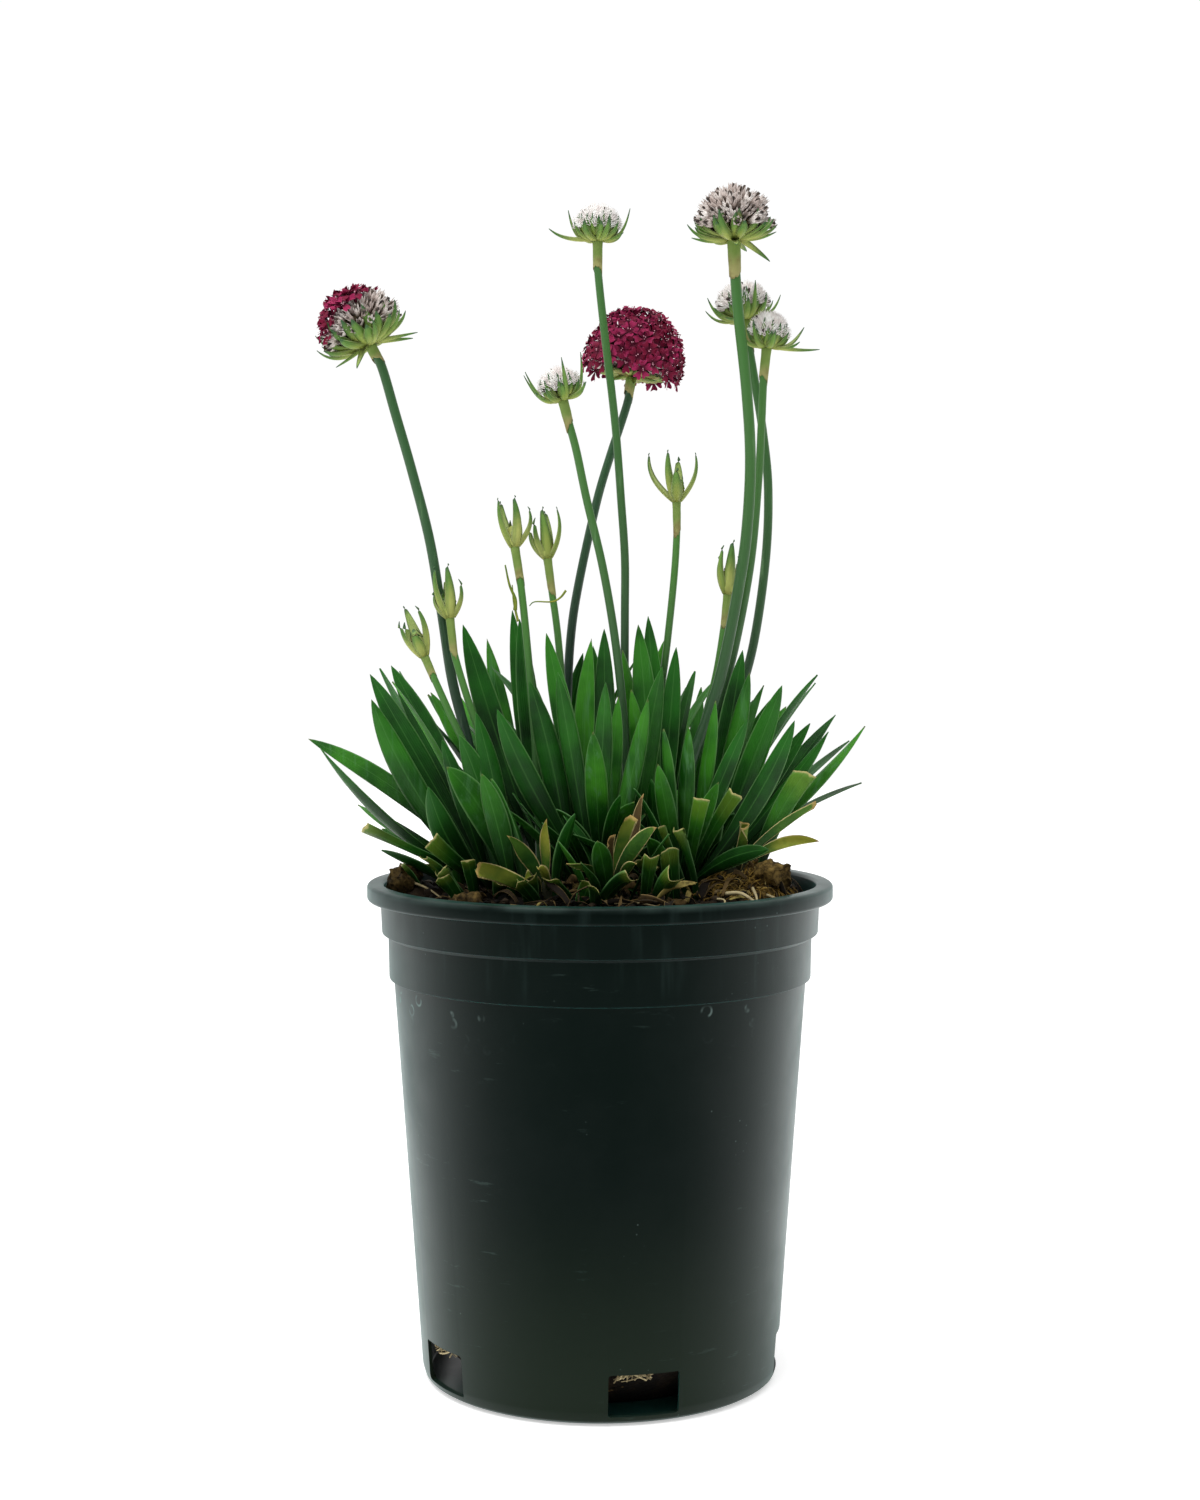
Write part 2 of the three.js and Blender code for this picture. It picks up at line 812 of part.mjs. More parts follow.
function makeStalk(plant, steps) {
  return solid(rod(stalkRoute(plant), stalkRadius(plant), stalkSides, steps));
}

// The upright of a head: from a local place, up along the head's axis, to the part
function headPlace(plant) {
  const foot = spotOf(plant, plant.sheathFoot);
  const base = spotOf(plant, plant.base);
  const axis = base.clone().sub(foot);
  const length = axis.length();
  axis.multiplyScalar(1 / length);
  const frame = across(axis, vector(0, 1, 0));
  const matrix = new THREE.Matrix4().makeBasis(frame.side.negate(), frame.face, axis);
  matrix.setPosition(base);
  return { matrix, inverse: matrix.clone().invert(), length, axis, base };
}

// A turned body whose rim is cut into pointed bracts: every second ridge of the
// turned wall runs out to the tip of a bract, and the ridge between them stays
// low. Rings of the wall between the cup and the tips follow the bends. Next to
// the rim, each square of the wall is split along the way that doesn't reach a
// tip, because the thin bracts would pass through themselves there.
function bractCup(tips, profile, rim, bends = []) {
  const sides = tips.length * 2;
  const points = profile.map(([radius, height]) => new THREE.Vector2(radius, height));
  const turned = new THREE.LatheGeometry(points, sides);
  turned.rotateX(Math.PI / 2);
  turned.rotateZ(Math.PI / 2);
  const corners = [];
  for (let i = 0; i < sides; i++) {
    for (let j = 0; j < profile.length - 1; j++) {
      const a = i * profile.length + j;
      const b = a + profile.length;
      const towardsTip = (i % 2 === 0) === (j < rim);
      corners.push(...(towardsTip ? [a, b, b + 1, a, b + 1, a + 1] : [a, b, a + 1, b + 1, a + 1, b]));
    }
  }
  turned.setIndex(corners);
  const spots = turned.attributes.position;
  for (let i = 0; i <= sides; i++) {
    const ridge = i % sides;
    if (ridge % 2) continue;
    const row = i * profile.length;
    const tip = tips[ridge / 2];
    spots.setXYZ(row + rim, tip.x, tip.y, tip.z);
    for (const bend of bends) {
      const point = bend.at(tip);
      spots.setXYZ(row + bend.ring, point.x, point.y, point.z);
    }
  }
  return turned;
}

// The tips of a head's bracts in its own frame, in order round the axis: the
// ones that the front view shows, and even ones to fill the rest of the turn
function bractTips(plant, readings, count, reach, height, inverse, clearOf = () => 0) {
  const shown = readings.map(([u, v, push]) => spotOf(plant, [u, v], push).applyMatrix4(inverse));
  for (const tip of shown) {
    const radius = Math.hypot(tip.x, tip.y);
    const push = Math.max(1, clearOf(tip.z) / radius);
    tip.x *= push;
    tip.y *= push;
  }
  const random = makeRandom(31 + plant.name.charCodeAt(0) + plant.name.length * 7);
  const full = 2 * Math.PI;
  const slots = new Array(count).fill(null);
  const spinOf = (tip) => (Math.atan2(tip.y, tip.x) + full) % full;
  for (const tip of shown) {
    const wanted = Math.round(spinOf(tip) / full * count) % count;
    const free = [0, 1, -1, 2, -2].map((step) => (wanted + step + count) % count)
      .find((slot) => !slots[slot]);
    if (free !== undefined) slots[free] = tip;
  }
  return slots.map((tip, i) => {
    const spin = i / count * full;
    if (tip) {
      const off = ((spinOf(tip) - spin + 3 * Math.PI) % full) - Math.PI;
      const allowed = 0.5 * Math.PI / count;
      const turned = spin + Math.max(-allowed, Math.min(allowed, off));
      const radius = Math.hypot(tip.x, tip.y);
      return vector(radius * Math.cos(turned), radius * Math.sin(turned), tip.z);
    }
    const far = reach + spread(random, 1);
    return vector(far * Math.cos(spin), far * Math.sin(spin), height + spread(random, 1.2));
  });
}

function makeInvolucre(flower) {
  const place = headPlace(flower);
  const [cupRadius, cupHeight] = flower.bowl;
  const bore = flower.radius + gap;
  const sheath = bore + 0.7;
  const foot = cupHeight + 0.5 + gap;
  const hidden = Boolean(flower.bloom.petal);
  const shoulder = hidden ? cupRadius + 4 : flower.bloom.radius * 1.07 + 1.6;
  const saucer = shoulder * 0.84;
  const clearOf = (height) => (height > foot ? shoulder : saucer + 1);
  const tips = bractTips(
    flower, flower.bracts, flower.bractCount, shoulder + 1,
    hidden ? cupHeight - 1.5 : foot + 2, place.inverse, clearOf,
  );
  const bend = (tip, side) => {
    const radius = Math.hypot(tip.x, tip.y);
    const high = tip.z > foot;
    const middle = high ? shoulder * 0.95 : mix(cupRadius, radius, 0.55);
    const level = high ? foot - 1.55 : Math.max(mix(cupHeight - 1, tip.z, 0.5), cupHeight - 1.8);
    const run = radius - cupRadius;
    const rise = tip.z - cupHeight;
    const offset = side * bractThickness / 2 / Math.hypot(run, rise);
    const reach = middle - rise * offset;
    return vector(tip.x / radius * reach, tip.y / radius * reach, level + run * offset);
  };
  const cup = bractCup(tips, [
    [0, 0],
    [bore, 0],
    [bore, -place.length],
    [sheath, -place.length],
    [sheath, -1],
    [cupRadius, cupHeight - 1.2],
    [saucer, cupHeight - 1],
    [saucer + 0.5, cupHeight - 0.6],
    [saucer, cupHeight - 0.2],
    [cupRadius - 0.6, cupHeight],
    [0, cupHeight],
  ], 7, [
    { ring: 6, at: (tip) => bend(tip, -1) },
    { ring: 8, at: (tip) => bend(tip, 1) },
  ]);
  return solid(cup.applyMatrix4(place.matrix));
}

// A dome of spent florets: a turned body whose ridges stand out in turn, ring
// after ring, as the ragged papery mouths of the florets
function ruffledDome(flower) {
  const { ridges, radius, height } = flower.bloom;
  const [cupRadius, cupHeight] = flower.bowl;
  const foot = cupHeight + 0.5 + gap;
  const rise = height - foot;
  const rings = [
    { radius: 0, height: 0 },
    { radius: cupRadius * 0.86, height: 0 },
    { radius: 0.97, level: 0.15, peaks: 0 },
    { radius: 0.8, level: 0.28 },
    { radius: 1, level: 0.5, peaks: 1 },
    { radius: 0.8, level: 0.62 },
    { radius: 1, level: 0.84, peaks: 0 },
    { radius: 0, height: rise * 0.9 },
  ];
  const random = makeRandom(flower.name.charCodeAt(0) * 13);
  const turned = new THREE.LatheGeometry(rings.map(() => new THREE.Vector2(1, 0)), ridges * 2);
  turned.rotateX(Math.PI / 2);
  const spots = turned.attributes.position;
  const firstRow = [];
  for (let i = 0; i <= ridges * 2; i++) {
    for (let j = 0; j < rings.length; j++) {
      const ring = rings[j];
      const spot = i * rings.length + j;
      const spin = i / (ridges * 2) * 2 * Math.PI;
      const flat = ring.level === undefined ? 1 : Math.sqrt(1 - ring.level ** 2);
      const peak = ring.peaks !== undefined && i % 2 === ring.peaks;
      const swell = peak ? 1 + spread(random, 0.07) : 0.76 + spread(random, 0.04);
      const round = ring.level === undefined ? ring.radius : radius * ring.radius * flat * swell;
      const tall = ring.level === undefined
        ? ring.height
        : Math.max(ring.level * rise * swell, peak ? -1 : 0.6) + (peak ? 0.8 : 0);
      const place = vector(round * Math.cos(spin), round * Math.sin(spin), foot + tall);
      if (i === 0) firstRow.push(place);
      const fixed = i === ridges * 2 ? firstRow[j] : place;
      spots.setXYZ(spot, fixed.x, fixed.y, fixed.z);
    }
  }
  return [turned];
}

// One open floret in the head's frame: a funnel with five petals
function openFloret(direction, from, to, radius, spin) {
  const frame = across(direction, Math.abs(direction.z) > 0.9 ? vector(0, 1, 0.01) : up);
  return formed(10, 1, false, (share, side, face) => {
    const centre = Math.abs(side) + Math.abs(face) < 0.01;
    const angle = Math.atan2(side, face);
    const lobe = Math.round(angle / (Math.PI / 5)) % 2 === 0 ? 1 : 0.45;
    const width = radius * (share > 0.5 ? lobe : 0.2);
    const length = share > 0.5 ? to - (centre ? radius * 0.3 : 0) : from;
    const turned = centre ? 0 : angle + spin;
    const reach = centre ? 0 : width;
    return direction.clone().multiplyScalar(length)
      .addScaledVector(frame.side, Math.sin(turned) * reach)
      .addScaledVector(frame.face, Math.cos(turned) * reach);
  });
}

// A round head in full flower, its florets set out in a spiral over a core
function openDome(flower) {
  const { florets, radius, height, open, petal } = flower.bloom;
  const [cupRadius, cupHeight] = flower.bowl;
  const random = makeRandom(flower.name.charCodeAt(0) * 13);
  const foot = cupHeight + 0.5 + gap;
  const middle = foot + 1;
  const rise = height - middle;
  const coreShare = 0.66;
  const core = new THREE.LatheGeometry([
    [0, foot],
    [cupRadius * 0.86, foot],
    [radius * coreShare, middle + rise * 0.2],
    [radius * coreShare * 0.8, middle + rise * 0.48],
    [0, middle + rise * coreShare],
  ].map(([r, z]) => new THREE.Vector2(r, z)), 7);
  core.rotateX(Math.PI / 2);
  const pieces = [core];
  const lowest = Math.cos(THREE.MathUtils.degToRad(open));
  for (let i = 0; i < florets; i++) {
    const level = mix(0.97, lowest, (i + 0.5) / florets);
    const spin = i * goldenAngle;
    const flat = Math.sqrt(1 - level * level);
    const stretch = 1 + spread(random, 0.05);
    const tip = vector(
      radius * flat * Math.cos(spin) * stretch,
      radius * flat * Math.sin(spin) * stretch,
      level * rise * stretch,
    );
    const length = tip.length();
    const direction = tip.multiplyScalar(1 / length);
    const piece = openFloret(direction, length * 0.5, length, petal, random() * Math.PI);
    piece.translate(0, 0, middle);
    pieces.push(piece);
  }
  return pieces;
}

function makeBloom(flower) {
  const place = headPlace(flower);
  const pieces = flower.bloom.petal ? openDome(flower) : ruffledDome(flower);
  return outerBody(join(pieces.map((piece) => solid(piece.applyMatrix4(place.matrix)))));
}

function makeBud(bud) {
  const place = headPlace(bud);
  const bore = bud.radius + gap;
  const sheath = bore + 0.6;
  const tips = bractTips(bud, bud.tips, 5, 3, 15, place.inverse);
  const cup = bractCup(tips, [
    [0, 0],
    [bore, 0],
    [bore, -place.length],
    [sheath, -place.length],
    [sheath, -0.5],
    [2.9, 4],
    [2.4, 5],
    [1.6, 8],
    [0, 13],
  ], 6);
  return solid(cup.applyMatrix4(place.matrix));
}

// Crowns. Each leaf that the front view shows is
// [across, height, depth of the tip, width, bow, turn, cut].

const crowns = [
  {
    name: 'rosette_1',
    x: -36,
    y: -6,
    leaves: [
      [-103.5, 226.5, -10, 7, 5, 0],
      [-99, 223, -26, 8, -6, 62],
      [-86, 203, -20, 8, 0, 58],
      [-84, 194.5, -34, 6, 0, 50, true],
      [-77.5, 194.5, 2, 6, 1, 40],
      [-82, 189, -26, 7, 1, 35],
      [-81.5, 249.5, 4, 9, 0, 10],
      [-81, 240.5, -16, 9, -4, 0],
      [-74, 252.5, 12, 9, 1, 0],
      [-78, 251.5, 24, 8, 2, 60],
      [-71, 250.5, 32, 8, 2, 58],
      [-61, 209.5, -36, 9, -6, 0],
      [-60, 190, -44, 7, -1, 10, true],
      [-48, 235, -16, 8, 0, 10],
      [-56, 226, -26, 7, 0, 20],
      [-53, 216, -38, 9.5, 1, 0],
    ],
    spare: 4,
    sector: [60, 200],
  },
  {
    name: 'rosette_2',
    x: -18,
    y: 6,
    leaves: [
      [-48.5, 267, 10, 9.5, -1, 0],
      [-31, 272, 18, 7.5, 0, 10],
      [-28.5, 269, 5, 8, 0, 0],
      [-25, 250.5, -3, 7.5, 0, 10],
      [-37, 249, -1, 8, 1, 55],
    ],
    spare: 5,
    sector: [20, 170],
  },
  {
    name: 'rosette_3',
    x: 0,
    y: -10,
    leaves: [
      [-19, 264, -2, 8, 0, 0],
      [-15, 250, -17, 7.5, 0, 15],
      [-36.5, 237, -32, 8.5, -3, 0],
      [-2.5, 229, -42, 8, 0, 5],
      [2, 246.5, -24, 7, 0, 10],
      [1.5, 265.5, 10, 8, 0, 0],
      [6.5, 241.5, -14, 7, 0, 30],
      [17, 240.5, -20, 6.5, -1, 10],
      [9, 265, 3, 7.5, 0, 0],
    ],
    spare: 2,
    sector: [60, 120],
  },
  {
    name: 'rosette_4',
    x: 21,
    y: 0,
    leaves: [
      [11, 244, -9, 7, 0, 20],
      [12, 272, 8, 8, -6, 10],
      [13.5, 267, -2, 9, 0, 0],
      [17, 270, 19, 8, 0, 0],
      [27, 259, 6, 7.5, 0, 10],
      [28, 255.5, -6, 7, 0, 20],
      [32, 255.5, -16, 8, 0, 0],
    ],
    spare: 3,
    sector: [40, 140],
  },
  {
    name: 'rosette_5',
    x: 35,
    y: 4,
    leaves: [
      [34, 263, 12, 8, 0, 0],
      [36.5, 264, 22, 8, 0, 60],
      [50.5, 258, 6, 8.5, 0, 0],
      [53, 250, -7, 7.5, 0, 20],
      [58, 245.5, 15, 8, 1, 55],
      [64.5, 245.5, -14, 8.5, 0, 0],
      [66.5, 243, 4, 8, 1, 20],
      [74.5, 232, 6, 7, 0, 20],
      [83.5, 235, 14, 8, 0, 50],
      [94, 231, -3, 8, -3, 58],
      [81, 229, -12, 8, -1, 50],
    ],
    spare: 3,
    sector: [-30, 110],
  },
  {
    name: 'rosette_6',
    x: 28,
    y: -16,
    leaves: [
      [20.5, 217.5, -42, 6.5, 0, 5],
      [22.5, 230, -32, 8, 0, 60],
      [31.5, 231, -36, 6, 0, 20],
      [41, 240, -24, 8, 0, 52],
      [52.5, 233.5, -28, 6, 0, 10],
      [69, 233, -30, 7.5, -4, 10],
      [75, 214.5, -26, 8, 0, 10, true],
      [71, 193.5, -32, 7, 3, 15, true],
      [60, 187, -50, 6.5, 3, 20],
      [42, 211, -42, 6, 1, 10],
      [36, 205, -50, 6, 1, 10, true],
      [48, 207, -46, 6, 1, 10, true],
    ],
    spare: 1,
    sector: [-60, -20],
  },
  {
    name: 'rosette_7',
    x: -24,
    y: 34,
    leaves: [
      [-6, 257, 30, 7.5, 1, 0],
      [-40, 262, 38, 7.5, 1, 20],
      [-60, 243, 40, 8, 2, 20],
    ],
    spare: 10,
    sector: [20, 260],
  },
  {
    name: 'rosette_8',
    x: 8,
    y: 36,
    leaves: [
      [-2.5, 259.5, 28, 7, 0, 0],
      [1.5, 252.5, 20, 7, 0, 0],
      [23, 262, 34, 8, 1, 0],
    ],
    spare: 10,
    sector: [0, 180],
  },
  {
    name: 'rosette_9',
    x: 36,
    y: 30,
    leaves: [
      [44, 256, 30, 8, 0, 0],
      [66, 238, 34, 7.5, 2, 20],
    ],
    spare: 9,
    sector: [-70, 160],
  },
  {
    name: 'rosette_10',
    x: -6,
    y: 16,
    leaves: [],
    spare: 7,
    sector: [20, 380],
  },
  {
    name: 'rosette_11',
    x: 23,
    y: 22,
    leaves: [],
    spare: 6,
    sector: [0, 300],
  },
];

const witheredCrowns = [
  {
    name: 'withered_leaves_1',
    x: -18,
    y: -32,
    leaves: [
      [-33, 192, -44, 6, 2, 20],
      [-19, 198, -38, 5, 1, 40],
      [-44, 181, -50, 8, 1, 0, true],
      [-22, 180, -54, 4, 3, 20],
      [-27, 176, -50, 5, 3, 20],
    ],
    spare: 0,
    sector: [0, 0],
  },
  {
    name: 'withered_leaves_2',
    x: 4,
    y: -34,
    leaves: [
      [-12, 182, -52, 4, 3, 20],
      [3, 191, -52, 5, 2, 0, true],
      [10, 199, -44, 7, 1, 0, true],
      [15.5, 207, -38, 5, 0, 20],
      [20, 195, -52, 6, 2, 20],
      [13, 182, -56, 4, 3, 20],
    ],
    spare: 0,
    sector: [0, 0],
  },
  {
    name: 'withered_leaves_3',
    x: 47,
    y: -18,
    leaves: [
      [78, 190, -24, 5, 3, 30],
      [76.5, 202, -14, 5, 2, 30, true],
      [53, 196, -38, 6, 1, 10, true],
    ],
    spare: 0,
    sector: [0, 0],
  },
];

function crownTop(crown) {
  return soilHeight(crown.x, crown.y) + crownRise;
}

// The feet of a crown's leaves, spread over its top from the middle outwards
function leafFoot(crown, tip, index) {
  const away = vector(tip.x - crown.x, tip.y - crown.y, 0);
  const length = away.length();
  if (length > 0.01) away.multiplyScalar(Math.min(1.6, length / 6) / length);
  const spin = index * goldenAngle;
  const reach = Math.min(2.6, 0.7 * Math.sqrt(index + 1));
  return vector(
    crown.x + away.x + reach * Math.cos(spin),
    crown.y + away.y + reach * Math.sin(spin),
    crownTop(crown) - 1.2 - 0.5 * (index % 4),
  );
}

// A leaf that points at the viewer more than this has its upper face turned up
// and not towards the viewer
const headOnShare = 0.85;

// A leaf of the front view, pushed back or forward until it is clear
function frontLeaf(crown, spec, index) {
  const [u, v, depth, width, bow, turn, cut] = spec;
  for (let attempt = 0; attempt < 15; attempt++) {
    const push = (attempt % 2 ? 1 : -1) * Math.ceil(attempt / 2) * 2;
    const tip = seen(u, v, depth + push);
    const foot = leafFoot(crown, tip, index);
    const headOn = tip.clone().sub(foot).normalize().dot(toViewer) > headOnShare;
    const leaf = leafOf(foot, tip, width, bow + attempt * 0.15, turn, {
      facing: headOn ? undefined : toViewer,
      cut,
    });
    const body = bodyOfLeaf(leaf, crown.name);
    if (aboveSoil(body, crown) && isClear(body)) return { leaf, body };
  }
  return null;
}

// Leaves that the front view doesn't single out: full grown ones of the sides
// and back, and the short young ones in the heart of each crown
const fullGrown = {
  tries: 30,
  lean: [28, 78],
  length: [62, 86],
  width: [7, 9.5],
  bow: [0, 9],
  firstFoot: 3,
  seed: 5000,
};
const young = {
  tries: 40,
  lean: [50, 86],
  length: [30, 60],
  width: [5.5, 8],
  bow: [0, 5],
  firstFoot: 9,
  seed: 9000,
};

// One of a number of such leaves over a sector, drawn again until it is clear
function ownLeaf(crown, kind, index, count, [from, to]) {
  for (let attempt = 0; attempt < kind.tries; attempt++) {
    const random = makeRandom(crown.x * 31 + crown.y * 17 + index * 101 + attempt * 977 + kind.seed);
    const draw = ([low, high]) => mix(low, high, random());
    const spin = THREE.MathUtils.degToRad(mix(from, to, (index + 0.5) / count) + spread(random, 16));
    const lean = THREE.MathUtils.degToRad(draw(kind.lean));
    const length = draw(kind.length);
    const outward = vector(Math.cos(spin), Math.sin(spin), 0);
    const base = vector(crown.x, crown.y, crownTop(crown));
    const tip = base.addScaledVector(outward, Math.cos(lean) * length);
    tip.z += Math.sin(lean) * length;
    const width = draw(kind.width);
    const bow = draw(kind.bow);
    const turn = spread(random, 25);
    const foot = leafFoot(crown, tip, index + kind.firstFoot);
    const leaf = leafOf(foot, tip, width, bow, turn, { sides: 3 });
    const body = bodyOfLeaf(leaf, crown.name);
    if (aboveSoil(body, crown) && isClear(body)) return { leaf, body };
  }
  return null;
}

function crownStub(crown) {
  const foot = soilHeight(crown.x, crown.y) - crownSink;
  return drum(crown.x, crown.y, foot, crownTop(crown) + heartRise, crownRadius, heartRadius, crownSides);
}

function placeLeaves() {
  const everyCrown = [...witheredCrowns, ...crowns];
  for (const plant of [...flowers, ...buds]) {
    placed.push(bodyOfRod(stalkRoute(plant), stalkRadius(plant), 16, stalkMargin));
  }
  for (const crown of everyCrown) {
    const foot = vector(crown.x, crown.y, crownTop(crown) - 8);
    const stub = new THREE.LineCurve3(foot, vector(crown.x, crown.y, crownTop(crown)));
    placed.push({ ...bodyOfRod(stub, () => crownRadius, 2, stalkMargin), crown: crown.name });
    crown.grown = [];
  }
  for (const bud of buds) {
    const place = headPlace(bud);
    const tip = place.base.clone().addScaledVector(place.axis, 16);
    const foot = place.base.clone().addScaledVector(place.axis, -place.length);
    const stem = new THREE.LineCurve3(foot, tip);
    placed.push(bodyOfRod(stem, () => 3.4, 3, stalkMargin));
  }
  for (const crown of everyCrown) {
    crown.leaves.forEach((spec, index) => keep(crown, frontLeaf(crown, spec, index)));
  }
  for (const crown of everyCrown) {
    for (let i = 0; i < crown.spare; i++) {
      keep(crown, ownLeaf(crown, fullGrown, i, crown.spare, crown.sector));
    }
  }
  for (const crown of crowns) {
    for (let i = 0; i < youngLeaves; i++) {
      keep(crown, ownLeaf(crown, young, i, youngLeaves, [0, 360]));
    }
  }
  return everyCrown;
}

function keep(crown, found) {
  if (!found) return;
  placed.push(found.body);
  crown.grown.push(found.leaf);
}

function makeRosette(crown) {
  const pieces = [crownStub(crown), ...crown.grown.map(leafBlade)];
  return outerBody(join(pieces.map(solid)));
}

// Assembly

const plant = new THREE.Group();

function addPart(name, body, material) {
  const mesh = new THREE.Mesh(toGeometry(body), new THREE.MeshStandardMaterial(materials[material]));
  mesh.name = name;
  plant.add(mesh);
}

const everyCrown = placeLeaves();
const everyStalk = [...flowers, ...buds];

addPart('pot', makePot(), 'pot');
addPart('potting_mix', makeMix(
  everyCrown,
  everyStalk.map(({ root: [x, y], radius }) => ({ x, y, radius })),
), 'mix');
for (const crown of crowns) {
  addPart(crown.name, makeRosette(crown), 'leaf');
}
for (const crown of witheredCrowns) {
  addPart(crown.name, makeRosette(crown), 'withered');
}
for (const flower of flowers) {
  addPart(`stalk_${flower.name}`, makeStalk(flower, headSteps), 'stalk');
  addPart(`involucre_${flower.name}`, makeInvolucre(flower), 'bract');
  addPart(`bloom_${flower.name}`, makeBloom(flower), flower.bloom.petal ? 'petal' : 'papery');
}
for (const bud of buds) {
  addPart(`stalk_${bud.name}`, makeStalk(bud, budSteps), 'stalk');
  addPart(`bud_${bud.name}`, makeBud(bud), 'bract');
}

export default plant;
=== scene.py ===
"""A potted armeria: a leafy clump with round flower heads, in a black nursery pot.

Lengths in this script are millimetres, turned to metres as each mesh is made.
+Z is up, -Y faces the viewer and the origin is the middle of the pot's underside.
"""

import math

import bmesh
import bpy
import numpy as np
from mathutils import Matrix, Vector, noise


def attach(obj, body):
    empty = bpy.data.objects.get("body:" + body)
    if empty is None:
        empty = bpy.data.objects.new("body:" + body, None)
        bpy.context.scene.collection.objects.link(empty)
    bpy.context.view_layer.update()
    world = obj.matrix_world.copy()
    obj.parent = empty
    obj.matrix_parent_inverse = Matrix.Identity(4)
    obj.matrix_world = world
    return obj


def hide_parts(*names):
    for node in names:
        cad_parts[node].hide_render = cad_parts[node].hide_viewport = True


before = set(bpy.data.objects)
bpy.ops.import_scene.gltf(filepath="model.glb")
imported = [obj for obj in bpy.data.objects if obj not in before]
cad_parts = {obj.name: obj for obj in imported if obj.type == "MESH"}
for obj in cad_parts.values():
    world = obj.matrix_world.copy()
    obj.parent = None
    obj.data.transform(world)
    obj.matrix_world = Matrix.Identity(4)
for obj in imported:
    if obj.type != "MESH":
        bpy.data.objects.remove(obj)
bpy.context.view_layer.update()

# Camera, floor and light
# The plant is seen a little from above, on a pale floor in front of a bright
# background. Light is soft and comes mostly from above and behind.

eye_distance = 850
eye_height = 269
eye_pitch = 3.13
scene = bpy.context.scene
scene.view_settings.view_transform = "Standard"
scene.view_settings.look = "None"

camera_data = bpy.data.cameras.new("camera")
camera_data.sensor_fit = "VERTICAL"
camera_data.sensor_height = 36
camera_data.lens = 57.6
camera = bpy.data.objects.new("camera", camera_data)
camera.location = (0, -eye_distance / 1000, eye_height / 1000)
camera.rotation_euler = (math.radians(90 - eye_pitch), 0, 0)
scene.collection.objects.link(camera)
scene.camera = camera


class Link:
    """A number, colour or vector on its way through the nodes of a finish."""

    def __init__(self, finish, socket):
        self.finish = finish
        self.socket = socket

    def __add__(self, other):
        return self.finish.sum("ADD", self, other)

    def __radd__(self, other):
        return self.finish.sum("ADD", other, self)

    def __sub__(self, other):
        return self.finish.sum("SUBTRACT", self, other)

    def __rsub__(self, other):
        return self.finish.sum("SUBTRACT", other, self)

    def __mul__(self, other):
        return self.finish.sum("MULTIPLY", self, other)

    def __rmul__(self, other):
        return self.finish.sum("MULTIPLY", other, self)


class Finish:
    """The look of one surface, built from nodes."""

    def __init__(self, name, owner=None):
        self.owner = owner or bpy.data.materials.new(name)
        self.owner.use_nodes = True
        self.tree = self.owner.node_tree
        self.tree.nodes.clear()

    def node(self, kind, settings=None, inputs=None, output=0):
        """One node: its settings are set first, then its sockets."""
        made = self.tree.nodes.new(kind)
        for key, value in (settings or {}).items():
            setattr(made, key, value)
        for key, value in (inputs or {}).items():
            if isinstance(value, Link):
                self.tree.links.new(value.socket, made.inputs[key])
            else:
                made.inputs[key].default_value = value
        return Link(self, made.outputs[output]) if made.outputs else None

    def sum(self, operation, first, second=0):
        return self.node("ShaderNodeMath", {"operation": operation}, {0: first, 1: second})

    def step(self, value, low, high):
        """0 below low, 1 above high and smooth between them."""
        settings = {"interpolation_type": "SMOOTHSTEP"}
        inputs = {"Value": value, "From Min": low, "From Max": high}
        return self.node("ShaderNodeMapRange", settings, inputs)

    def tint(self, colour, other, share):
        """One colour turning into another as share goes from 0 to 1."""
        colour, other = (ink(*c) if isinstance(c, tuple) else c for c in (colour, other))
        return self.node("ShaderNodeMix", {"data_type": "RGBA"}, {0: share, 6: colour, 7: other}, 2)

    def coats(self, colour, *coats):
        """A colour with others laid over it in turn, each with its share."""
        for other, share in coats:
            colour = self.tint(colour, other, share)
        return colour

    def kept(self, name):
        """A number kept at each point of the mesh."""
        return self.node("ShaderNodeAttribute", {"attribute_name": name}, output="Fac")

    def kept_size(self, name):
        """Such a number without its sign."""
        return self.sum("ABSOLUTE", self.kept(name))

    def place(self):
        return self.node("ShaderNodeTexCoord", output="Object")

    def split(self, place):
        """The three numbers of a place or a direction."""
        made = self.node("ShaderNodeSeparateXYZ", inputs={0: place}).socket.node
        return [Link(self, socket) for socket in made.outputs]

    def stretched(self, along, up):
        """Places squeezed along x and y, and along z, for streaks."""
        inputs = {0: self.place(), 1: (along, along, up)}
        return self.node("ShaderNodeVectorMath", {"operation": "MULTIPLY"}, inputs)

    def cloud(self, scale, detail=3.0, rough=0.5, at=None):
        inputs = {"Vector": at or self.place(), "Scale": scale, "Detail": detail, "Roughness": rough}
        return self.node("ShaderNodeTexNoise", inputs=inputs)

    def cells(self, scale):
        return self.node("ShaderNodeTexVoronoi", inputs={"Vector": self.place(), "Scale": scale})

    def bump(self, height, strength, distance):
        inputs = {"Height": height, "Strength": strength, "Distance": distance / 1000}
        return self.node("ShaderNodeBump", inputs=inputs)

    def surface(self, colour, roughness, normal=None, **fixed):
        """Ends the finish in a shader. What is in fixed is the same all over."""
        inputs = {"Base Color": colour, "Roughness": roughness}
        if normal is not None:
            inputs["Normal"] = normal
        for key, value in fixed.items():
            inputs[key.replace("_", " ").title().replace("Ior", "IOR")] = value
        shader = self.node("ShaderNodeBsdfPrincipled", inputs=inputs)
        self.node("ShaderNodeOutputMaterial", inputs={"Surface": shader})
        return self.owner


